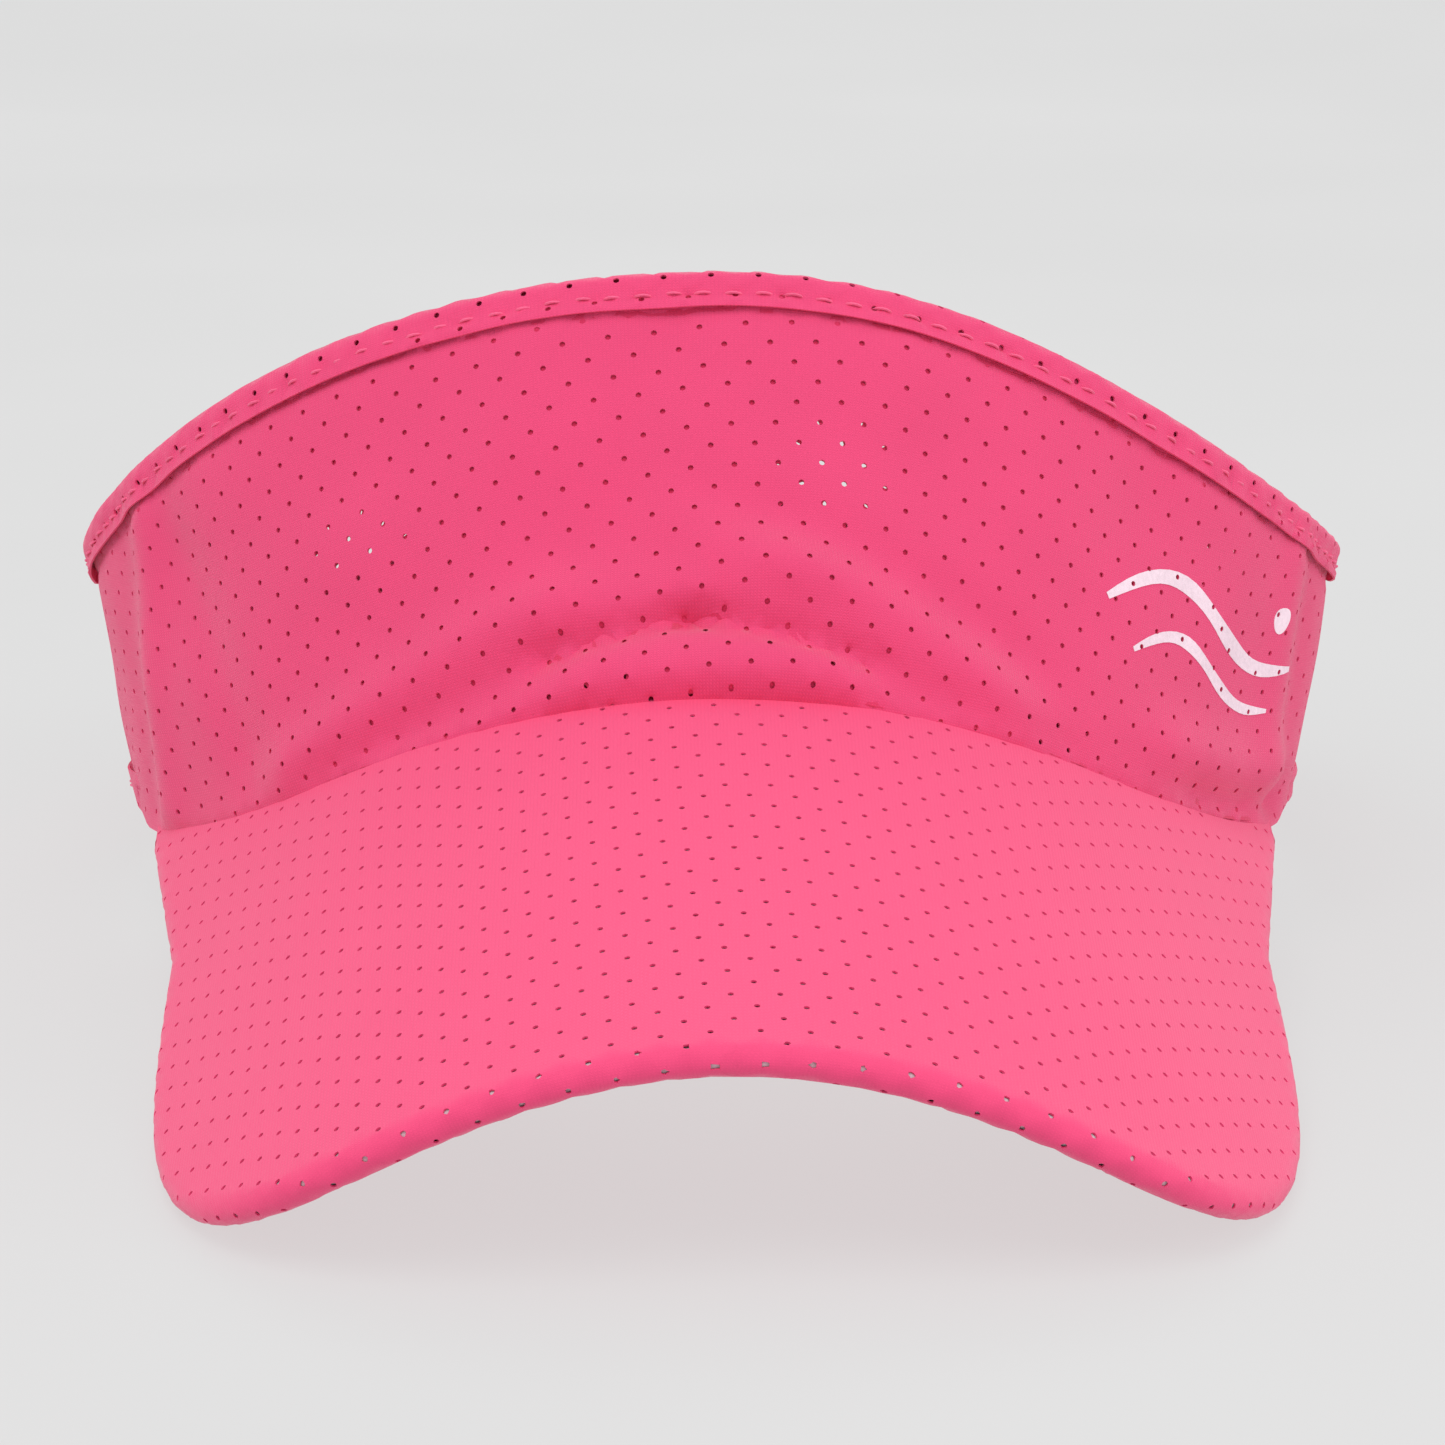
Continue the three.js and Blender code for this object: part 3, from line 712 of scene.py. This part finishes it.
def make_lining():
    outline = band_outline(-SHELL_S, SHELL_S, 0.9, 1.2)
    grid = hole_grid(outline, LINING_TURN, GRID_ORIGIN)
    lining, flat, triangles = perforated("band_inner", outline, grid, lining_place, KNIT, LINING_HOLE)
    finish_piece(lining, "knit_lining", replaces=["band_lining"])
    declare_sheet(lining, flat, triangles)


TAPE_MIDDLE = -0.6  # the folded tape goes round this depth below the band's outer face
TAPE_ROUND = 1.25
TAPE_TURN = math.pi * TAPE_ROUND


def tape_place(s, across, lift, height, at_top):
    """A tape folded round an edge of the band; across runs up the outer leg, round and down the inner leg."""
    sign = 1 if at_top else -1
    edge = band_height(s) if at_top else 0 * s
    leg = height - TAPE_ROUND
    turn = np.clip((across - leg) / TAPE_ROUND, 0, math.pi)
    radius = TAPE_ROUND + lift
    grown = 1 if at_top else smoothstep(SEAM_END + 5, SEAM_END + 20, np.abs(s))
    out = TAPE_MIDDLE + radius * np.cos(turn) * (0.2 + 0.8 * grown) - 0.3 * (1 - grown)
    rise = -TAPE_ROUND + radius * np.sin(turn)
    rise = rise - np.maximum(leg - across, 0) - np.maximum(across - leg - TAPE_TURN, 0)
    inward = 0.1 * np.maximum(1 - across / 0.7, 0) ** 2
    stitch = bell(across - (height - STITCH_DEPTH), 0.55)
    pucker = stitch * (0.34 + 0.2 * np.cos(2 * np.pi * s / STITCH_PITCH))
    belly = 0.25 * bell(across - (height - 1.7), 1.0) + 0.45 * bell(across - (height - 4.9), 0.8)
    soft = soft_noise(s, across, 7, 3, 8.1)
    face = out - inward - pucker + belly + 0.18 * soft + 0.55 * fold_height(s, edge + sign * rise - sign * 2)
    return band_point(s, edge + sign * rise, face)


TOP_DIP = np.array([-0.25, 0.16, 0.32, 0.32, 0.16, -0.25])  # how a stitch rises out of the cloth


def make_tape(name, start, end, height, at_top, replaces):
    """The binding along the top edge or the hem under a side, with its row of stitches."""
    width = 2 * (height - TAPE_ROUND) + TAPE_TURN
    s = np.linspace(start, end, int(abs(end - start) / 1.2) + 1)
    rungs = np.linspace(0, width, int(width / 1.0) + 1)[1:-1]
    outline = np.concatenate([
        np.stack([s, 0 * s], 1),
        np.stack([end + 0 * rungs, rungs], 1),
        np.stack([s[::-1], width + 0 * s], 1),
        np.stack([start + 0 * rungs, rungs[::-1]], 1),
    ])
    grid = hole_grid(outline, GRID_TURN * 0.3, np.array([2.0, 1.6]))
    place = lambda a, b, lift: tape_place(a, b, lift, height, at_top)
    tape = perforated(name, outline, grid, place, KNIT)[0]
    if not at_top:
        tape.data.flip_normals()
    finish_piece(tape, "knit_binding", replaces=replaces)
    paths = []
    for k, run in enumerate(stitch_runs(start, end, 0.13, 0.85)):
        row = np.full(6, height - STITCH_DEPTH) + 0.12 * math.sin(k * 1.7)
        paths.append(tape_place(run, row, TOP_DIP + 0.02, height, at_top))
    stitches = threads(name + "_topstitch", paths, TOP_THREAD)
    finish_piece(stitches, "knit_binding", material="thread")
    return tape


def make_band():
    shell = make_shell()
    make_lining()
    binding = make_tape("top_binding_tape", -SHELL_S, SHELL_S, BINDING, True, ["top_binding"])
    hem_start = SEAM_END + 5
    left = make_tape("hem_left_tape", hem_start, SHELL_S, HEM, False, ["side_hem_left"])
    right = make_tape("hem_right_tape", -SHELL_S, -hem_start, HEM, False, ["side_hem_right"])
    declare_sheet(*shell, with_pieces=[binding, left, right])


# ---- brim pieces ----
BRIM_GRID_TURN = math.radians(-2.7)
BRIM_GRID_ORIGIN = np.array([4.7, 6.7])
ROLL_TUCK = 3.0  # how far the top cover runs on under the brim
SEAM_TUCK = 1.2  # how far the covers run on behind the seam


def brim_flat_outline(outset, count=240):
    """The brim's flat outline, moved outward, closed along the seam."""
    side = np.linspace(-1, 1, count)
    edge = brim_outline(side)
    along = np.gradient(edge, axis=0)
    out = np.stack([-along[:, 1], along[:, 0]], 1) / np.hypot(*along.T)[:, None]
    taper = smoothstep(0, 0.012, 1 - np.abs(side))
    edge = edge + out * (outset * taper)[:, None]
    u = np.linspace(edge[-1, 0], edge[0, 0], count)
    u = np.clip(u, -BRIM_HALF_WIDTH, BRIM_HALF_WIDTH)
    seam = np.stack([u, seam_depth(u) - SEAM_TUCK], 1)
    return np.concatenate([edge, seam])


EDGE_SIDE = np.linspace(-1, 1, 1601)
EDGE = brim_outline(EDGE_SIDE)
EDGE_OUT = np.gradient(EDGE, axis=0)
EDGE_OUT = np.stack([-EDGE_OUT[:, 1], EDGE_OUT[:, 0]], 1) / np.hypot(*EDGE_OUT.T)[:, None]


def nearest_edge(points):
    """For flat points, the nearest point of the brim's edge and the signed distance outside it."""
    index = np.zeros(len(points), int)
    for chunk in np.array_split(np.arange(len(points)), max(1, len(points) // 400)):
        d = ((points[chunk][:, None] - EDGE[None, ::4]) ** 2).sum(2)
        index[chunk] = d.argmin(1) * 4
    for shift in (2, 1):
        for step in (-shift, shift):
            other = np.clip(index + step, 0, len(EDGE) - 1)
            closer = ((points - EDGE[other]) ** 2).sum(1) < ((points - EDGE[index]) ** 2).sum(1)
            index = np.where(closer, other, index)
    return index, ((points - EDGE[index]) * EDGE_OUT[index]).sum(1)


def brim_ripple(u, v):
    """Slow unevenness of the bonded cover."""
    return 0.22 * soft_noise(u, v, 30, 30, 1.3)


def brim_cover_place(u, v, lift):
    """The top cover: flat on the brim, then rolled down round its edge and tucked under."""
    points = np.stack([u, v], 1)
    index, beyond = nearest_edge(points)
    travel = np.maximum(beyond + EDGE_RADIUS, 0)
    turn = np.clip(travel / EDGE_RADIUS, 0, math.pi)
    tuck = np.maximum(travel - math.pi * EDGE_RADIUS, 0)
    radius = EDGE_RADIUS + lift
    outward = -EDGE_RADIUS + radius * np.sin(turn) - tuck
    flat = np.where((travel > 0)[:, None], EDGE[index] + EDGE_OUT[index] * outward[:, None], points)
    height = np.where(travel > 0, -EDGE_RADIUS + radius * np.cos(turn), lift)
    height = height + brim_ripple(u, v) * smoothstep(0, -8, beyond)
    return brim_point(flat[:, 0], flat[:, 1], height)


CORE_GAP = 0.12  # between a cover and the foam
CORE_TOP = -COVER_KNIT - CORE_GAP
CORE_BOTTOM = -3.5
CORE_FLAT = (184, 98)  # millimetres that the foam's pattern is stretched over
CORE_SIDES = 0.985  # the foam stops this share of the way out to the seam ends
UNDER_INSET, UNDER_FACE = 3.0, -3.65  # the under cover's inset from the edge, and its level


def core_place(a, b, face):
    """The foam core: a from one seam end to the other, b from the seam to its rounded front edge."""
    side = CORE_SIDES * (1 - 2 * a)
    u0 = side * BRIM_HALF_WIDTH
    v0 = seam_depth(u0)
    edge = brim_outline(side)
    share = 1 - (1 - b) ** 2
    points = np.stack([u0 + (edge[:, 0] - u0) * share, v0 + (edge[:, 1] - v0) * share], 1)
    index, beyond = nearest_edge(points)
    points -= EDGE_OUT[index] * np.maximum(beyond - CORE_TOP, 0)[:, None]
    u, v = points[:, 0], points[:, 1]
    half = (CORE_TOP - CORE_BOTTOM) / 2
    from_edge = np.clip(CORE_TOP - beyond, 0, half)
    bulge = np.sqrt(np.maximum(half ** 2 - (half - from_edge) ** 2, 0))
    lift = (CORE_TOP + CORE_BOTTOM) / 2 + (2 * face - 1) * bulge
    return brim_point(u, v, lift + brim_ripple(u, v) * (from_edge >= half))


def make_brim():
    outline = brim_flat_outline(math.pi * EDGE_RADIUS - EDGE_RADIUS + ROLL_TUCK)
    grid = hole_grid(outline, BRIM_GRID_TURN, BRIM_GRID_ORIGIN)
    top, flat, triangles = perforated("brim_top_fabric", outline, grid, brim_cover_place, COVER_KNIT)
    finish_piece(top, "knit_brim", replaces=["brim_top_cover"])
    declare_sheet(top, flat, triangles)
    core = grid_sheet("brim_foam_sheet", 120, 60, core_place, CORE_FLAT)
    finish_piece(core, "brim_foam", replaces=["brim_core"])
    under_outline = brim_flat_outline(-UNDER_INSET)
    under_grid = hole_grid(under_outline, -BRIM_GRID_TURN, -BRIM_GRID_ORIGIN)
    place = lambda u, v, lift: brim_point(u, v, UNDER_FACE + brim_ripple(u, v) + lift)
    under, flat, triangles = perforated("brim_under_fabric", under_outline, under_grid, place, COVER_KNIT)
    finish_piece(under, "brim_lining", replaces=["brim_under_cover"])
    declare_sheet(under, flat, triangles)


# ---- inside of the band ----
SWEAT_S = along_band(66)
SWEAT_HEIGHT = 29.0
# Outer faces of the inner strips, measured from the band's surface, and their thicknesses.
PAD_OUTER, PAD = -3.2, 1.6
TERRY_OUTER, TERRY = -5.0, 1.3
LINING_SIDE, SEAM_TAPE, LABEL = -2.3, 0.5, 0.3
SEAM_TAPE_TOP = 9.0
LABEL_LOW, LABEL_HIGH = 10.0, 21.0


def strip(name, start, end, low, high, outer, thickness, slot, rows=8, step=1.5, wobble=None, **finish):
    """A plain strip on the band between two rises, its faces at distances outside the band's surface."""
    columns = max(int(abs(end - start) / step), 2)

    def place(a, b, face):
        s = start + (end - start) * a
        bottom = low(s) if callable(low) else low
        top = high(s) if callable(high) else high
        rise = bottom + (top - bottom) * b
        out = outer(s) if callable(outer) else outer
        if wobble:
            out = out + wobble(s, b)
        return band_point(s, rise, out - (1 - face) * thickness + 0 * s)

    width = (high if not callable(high) else high(np.array([start]))[0])
    piece = grid_sheet(name, columns, rows, place, (abs(end - start), width))
    return finish_piece(piece, slot, **finish)


def swell(piece, pressure, cap):
    """Puffs a pad with a short cloth simulation, capping how far any point may move."""
    scene = bpy.context.scene
    bpy.ops.object.select_all(action="DESELECT")
    piece.select_set(True)
    bpy.context.view_layer.objects.active = piece
    rest = np.zeros(len(piece.data.vertices) * 3, np.float32)
    piece.data.vertices.foreach_get("co", rest)
    cloth = piece.modifiers.new("cloth", "CLOTH")
    cloth.settings.use_pressure = True
    cloth.settings.uniform_pressure_force = pressure
    cloth.settings.effector_weights.gravity = 0
    cloth.settings.quality = 4
    for step in range(1, 15):
        scene.frame_set(step)
    bpy.ops.object.modifier_apply(modifier="cloth")
    moved = np.zeros_like(rest)
    piece.data.vertices.foreach_get("co", moved)
    shift = (moved - rest).reshape(-1, 3)
    size = np.linalg.norm(shift, axis=1)[:, None]
    shift *= np.minimum(1, cap * MM / np.maximum(size, 1e-9))
    piece.data.vertices.foreach_set("co", (rest.reshape(-1, 3) + shift).ravel())
    piece.data.update()
    scene.frame_set(1)


def make_sweatband():
    """Foam strip and terry face, the face channelled by a row of stitches along its middle."""
    foam = strip("sweatband_pad", -SWEAT_S, SWEAT_S, 1.2, SWEAT_HEIGHT - 0.6, PAD_OUTER, PAD, "foam",
                 replaces=["sweatband_foam"])

    def channel(s, b):
        dome = np.sin(np.pi * np.clip(b, 0, 1)) ** 0.35
        groove = bell(b - 0.5, 0.035)
        pucker = 0.15 * np.cos(2 * np.pi * s / 4.2) * bell(b - 0.5, 0.12)
        return -(0.9 * dome - 0.8 * groove + pucker) + 0.9

    terry = strip("sweatband_face", -SWEAT_S, SWEAT_S, 1.0, SWEAT_HEIGHT, TERRY_OUTER, TERRY, "terry",
                  rows=26, wobble=channel, body=None, replaces=["sweatband_terry"])
    swell(terry, 2.0, 0.5)
    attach(terry, "root")
    strip("seam_tape_strip", -SWEAT_S, SWEAT_S, 1.0, SEAM_TAPE_TOP, LINING_SIDE, SEAM_TAPE, "tape", rows=2,
          replaces=["brim_seam_tape"])
    label_start, label_end = along_band(128), along_band(140)

    def curl(s, b):
        return -0.5 * np.sin(np.pi * b) * np.sin((s - label_start) / 3)

    label = strip("care_label_blank", label_start, label_end, LABEL_LOW, LABEL_HIGH, LINING_SIDE, LABEL,
                  "label", rows=10, wobble=curl, replaces=["care_label"])


# ---- rear closure ----
STRAP = 1.8
JOINT_OUTER = -STRAP - 0.6
LOOP_OUTER = 1.5
HOOK_OUTER = LOOP_OUTER + 1.5
FLAP_OUTER = HOOK_OUTER + 1.8
FLAP = 1.5
STRAP_INSET = 1.5


def edge_pillow(b, depth=0.35, width=0.06):
    """A folded strap thins towards its two long edges."""
    return -depth * (bell(b, width) + bell(1 - b, width))


def strap_stitches(name, start, end, rises, out, body):
    """Rows of stitches along a strap on the band."""
    paths = []
    dip = np.array([-0.2, 0.04, 0.1, 0.1, 0.04, -0.2])
    for rise in rises:
        for run in stitch_runs(start, end):
            paths.append(band_point(run, np.full(6, rise), out + dip))
    finish_piece(threads(name, paths, FINE_THREAD), "strap", body=body, material="thread")


def make_straps():
    start, stop = along_band(SHELL_END) - 5, along_band(180) + REAR_FLAT + 8
    pillow = lambda s, b: edge_pillow(b)
    strip("strap_left_fabric", start, stop, 0.0, STRAP_HEIGHT, 0.35, STRAP, "strap", rows=24,
          wobble=pillow, replaces=["rear_strap_left"])
    strap_stitches("strap_left_stitches", start + 2, stop - 2, (2.6, STRAP_HEIGHT - 2.6), 0.42, "root")
    right_end = along_band(-174.2)
    strip("strap_right_fabric", right_end, -start, 0.0, STRAP_HEIGHT, 0.35, STRAP, "strap", rows=24,
          wobble=pillow, replaces=["rear_strap_right"])
    strap_stitches("strap_right_stitches", right_end + 1, -start - 1, (2.6, STRAP_HEIGHT - 2.6), 0.42, "root")
    for name, side in (("left", 1), ("right", -1)):
        ends = sorted((side * along_band(162), side * along_band(174)))
        strip(f"strap_joint_{name}_patch", *ends, 7.0, 20.0, JOINT_OUTER, 0.8, "tape", rows=8,
              wobble=pillow, replaces=[f"strap_joint_{name}"])


def make_elastic():
    """Ruched elastic between the right strap and the closure."""
    near, far = along_band(-174.2), -(along_band(180) + REAR_FLAT - 27.0)

    def climb(s):
        return 0.2 + (FLAP_OUTER - 0.2) * smoothstep(near, far, s)

    def ruche(s, b):
        ridge = np.abs(np.sin(np.pi * (s - near) / 2.4 + 0.6 * np.sin(5 * b)))
        ends = smoothstep(0, 2, np.abs(s - near)) * smoothstep(0, 2, np.abs(s - far))
        return (0.75 * ridge - 0.35) * ends * (0.6 + 0.4 * np.sin(np.pi * b)) + edge_pillow(b, 0.3)

    top = STRAP_HEIGHT - STRAP_INSET
    elastic = strip("elastic_ruched", far, near, STRAP_INSET, top, climb, FLAP, "elastic",
                    rows=20, step=0.35, wobble=ruche, body=None, replaces=["elastic_insert"])
    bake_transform(elastic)


def rear_panel(name, start, stop, outer, thick, inset, columns, rows, wobble, round_end=0.0):
    """A flat panel behind the head between two X places, its far end optionally rounded."""
    bottom, top = REST_LEVEL + inset, REST_LEVEL + STRAP_HEIGHT - inset

    def place(a, b, face):
        height = b - 0.5
        x = stop + (start - stop) * a
        reach = stop - x
        if round_end:
            inner = np.sqrt(np.clip(round_end ** 2 - np.clip(round_end - reach, 0, None) ** 2, 0, None))
            half = (top - bottom) / 2 - round_end + inner
            half = np.where(reach < round_end, half, (top - bottom) / 2)
        else:
            half = (top - bottom) / 2 + 0 * x
        z = (bottom + top) / 2 + 2 * height * half
        bow = wobble(x, b) if wobble else 0
        y = REAR_FACE + outer - (1 - face) * thick + bow * (2 * face - 1) + 0 * x
        return np.stack([x, y, z], 1)

    return grid_sheet(name, columns, rows, place, (stop - start, top - bottom))


def make_closure():
    """The closure strap is one folded strip, its stitch rows broken at the peel line; the patches are sewn to
    it.
    """
    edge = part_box("closure_tab")[0].x / MM
    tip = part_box("closure_flap")[1].x / MM

    def quilt(x, b):
        sewn = bell(b - 0.09, 0.02) + bell(b - 0.91, 0.02)
        return -0.16 * sewn - 0.3 * (bell(b, 0.04) + bell(1 - b, 0.04))

    strap = rear_panel("closure_strap", edge, tip, FLAP_OUTER, FLAP, STRAP_INSET, 110, 36, quilt, 9.0)
    finish_piece(strap, "strap", body=None, replaces=["closure_tab", "closure_flap"])
    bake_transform(strap)

    def row(z, x0, x1):
        paths = []
        y = REAR_FACE + FLAP_OUTER + np.array([-0.25, 0.0, 0.06, 0.06, 0.0, -0.25]) - 0.1
        for x in stitch_runs(x0, x1):
            paths.append(np.stack([x, y, np.full(6, REST_LEVEL + z)], 1))
        return paths

    low, high = STRAP_INSET + 2.2, STRAP_HEIGHT - STRAP_INSET - 2.2
    base = row(low, edge + 1, PEEL_LINE - 2) + row(high, edge + 1, PEEL_LINE - 2)
    base = threads("closure_base_stitches", base, FINE_THREAD)
    finish_piece(base, "strap", body="closure_tab", material="thread")
    flap = row(low, PEEL_LINE + 3, tip - 9) + row(high, PEEL_LINE + 3, tip - 9)
    flap = threads("closure_flap_stitches", flap, FINE_THREAD)
    finish_piece(flap, "strap", body="closure_flap", material="thread")

    def pile(x, b):
        return 0.12 * np.array([noise.noise(Vector((p * 1.7, q * 37, 5.0))) for p, q in zip(x, b)]) - 0.1

    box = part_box("loop_patch")
    loop = rear_panel("loop_patch_pile", box[0].x / MM, box[1].x / MM, LOOP_OUTER, 1.2, 3.0, 110, 54, pile)
    finish_piece(loop, "loop_pile", replaces=["loop_patch"])
    make_hooks()


# One hook, from its root on the patch: across, away from the patch, up.
HOOK_BEND = np.array([[0, 0, 0], [0, -0.35, 0], [0.12, -0.6, 0], [0.34, -0.62, 0], [0.42, -0.45, 0]])
HOOK_RADIUS = 0.11


def make_hooks():
    """The hook patch: a thin backing with rows of short hooks on its inner face."""
    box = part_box("hook_patch")
    x0, x1 = box[0].x / MM, box[1].x / MM
    backing = rear_panel("hook_patch_backing", x0, x1, HOOK_OUTER, 0.5, 4.0, 24, 12, None)
    finish_piece(backing, "hook_tape", body="closure_flap", replaces=["hook_patch"])
    low, high = REST_LEVEL + 5, REST_LEVEL + STRAP_HEIGHT - 5
    root_y = REAR_FACE + HOOK_OUTER - 0.45
    paths = []
    for x in np.arange(x0 + 0.8, x1 - 0.5, 1.5):
        for z in np.arange(low, high, 1.3):
            paths.append(np.array([x, root_y, z]) + HOOK_BEND)
    finish_piece(threads("hook_patch_hooks", paths, HOOK_RADIUS, 4), "hook_tape", body="closure_flap")


# ---- stage, light and camera ----
FLOOR_GLOW = 0.825  # share of the floor's brightness that it gives itself, like a lit sweep


def make_stage():
    """A pale floor that curves up into a backdrop, lit from within so that it stays even."""
    n = Nodes("studio_paper")
    paper = n.noise(n.add("ShaderNodeTexCoord").outputs["Object"], 3.0)
    glow = n.ramp(paper, linear(221, 221, 221), linear(223, 223, 223))
    n.link(glow, n.shader.inputs["Emission Color"])
    n.shader.inputs["Emission Strength"].default_value = FLOOR_GLOW
    n.link(n.ramp(paper, (0.11, 0.11, 0.11), (0.13, 0.13, 0.13)), n.shader.inputs["Base Color"])
    n.shader.inputs["Roughness"].default_value = 0.95
    n.shader.inputs["Specular IOR Level"].default_value = 0.1
    half_width, front, back, radius, top = 4.0, -3.0, 2.2, 1.2, 4.0
    profile = [(front, 0.0)]
    for k in range(13):
        angle = math.pi / 2 * k / 12
        profile.append((back - radius + radius * math.sin(angle), radius - radius * math.cos(angle)))
    profile.append((back, top))
    mesh = bpy.data.meshes.new("studio_floor")
    vertices = [(x, y, z - 0.0004) for y, z in profile for x in (-half_width, half_width)]
    faces = [(2 * k, 2 * k + 1, 2 * k + 3, 2 * k + 2) for k in range(len(profile) - 1)]
    mesh.from_pydata(vertices, [], faces)
    mesh.polygons.foreach_set("use_smooth", [True] * len(mesh.polygons))
    floor = bpy.data.objects.new("studio_floor", mesh)
    mesh.materials.append(n.material)
    bpy.context.scene.collection.objects.link(floor)


def area_light(name, place, target, size, power):
    light = bpy.data.lights.new(name, "AREA")
    light.shape = "RECTANGLE"
    light.size, light.size_y = size
    light.energy = power
    lamp = bpy.data.objects.new(name, light)
    lamp.location = place
    lamp.rotation_euler = (Vector(target) - Vector(place)).to_track_quat("-Z", "Y").to_euler()
    bpy.context.scene.collection.objects.link(lamp)


def make_light():
    world = bpy.data.worlds.new("studio")
    world.use_nodes = True
    world.node_tree.nodes["Background"].inputs[0].default_value = (1, 1, 1, 1)
    world.node_tree.nodes["Background"].inputs[1].default_value = 0.62
    bpy.context.scene.world = world
    area_light("key", (-0.25, -0.75, 1.35), (0, 0, 0.04), (1.1, 0.9), 9.4)
    area_light("fill", (0.9, -0.9, 0.6), (0, 0, 0.05), (0.9, 0.9), 3.5)
    area_light("back", (0.0, 1.1, 1.2), (0, 0.1, 0.05), (1.4, 0.8), 4)
    area_light("left_side", (-1.3, -0.1, 0.4), (0, 0, 0.04), (0.9, 0.7), 3.2)
    area_light("right_side", (1.3, -0.1, 0.4), (0, 0, 0.04), (0.9, 0.7), 2.8)


CAMERA_BACK, CAMERA_UP = 629.0, 151.6  # millimetres from the seam centre
CAMERA_TURN = math.radians(-1.0)
FOCAL_LENGTH = 127.8
CAMERA_PITCH = math.radians(13.8)


def make_camera():
    camera = bpy.data.cameras.new("camera")
    camera.lens = FOCAL_LENGTH
    camera.sensor_width = 36
    camera.clip_start = 0.05
    eye = bpy.data.objects.new("camera", camera)
    place = np.array([CAMERA_BACK * math.sin(CAMERA_TURN), -CAMERA_BACK * math.cos(CAMERA_TURN), CAMERA_UP])
    eye.location = to_frame(place).tolist()
    eye.rotation_euler = (math.pi / 2 - CAMERA_PITCH, 0, CAMERA_TURN)
    bpy.context.scene.collection.objects.link(eye)
    bpy.context.scene.camera = eye


make_camera()
make_band()
make_brim()
make_sweatband()
make_straps()
make_elastic()
make_closure()
make_stage()
make_light()
bpy.context.scene.view_settings.view_transform = "Standard"
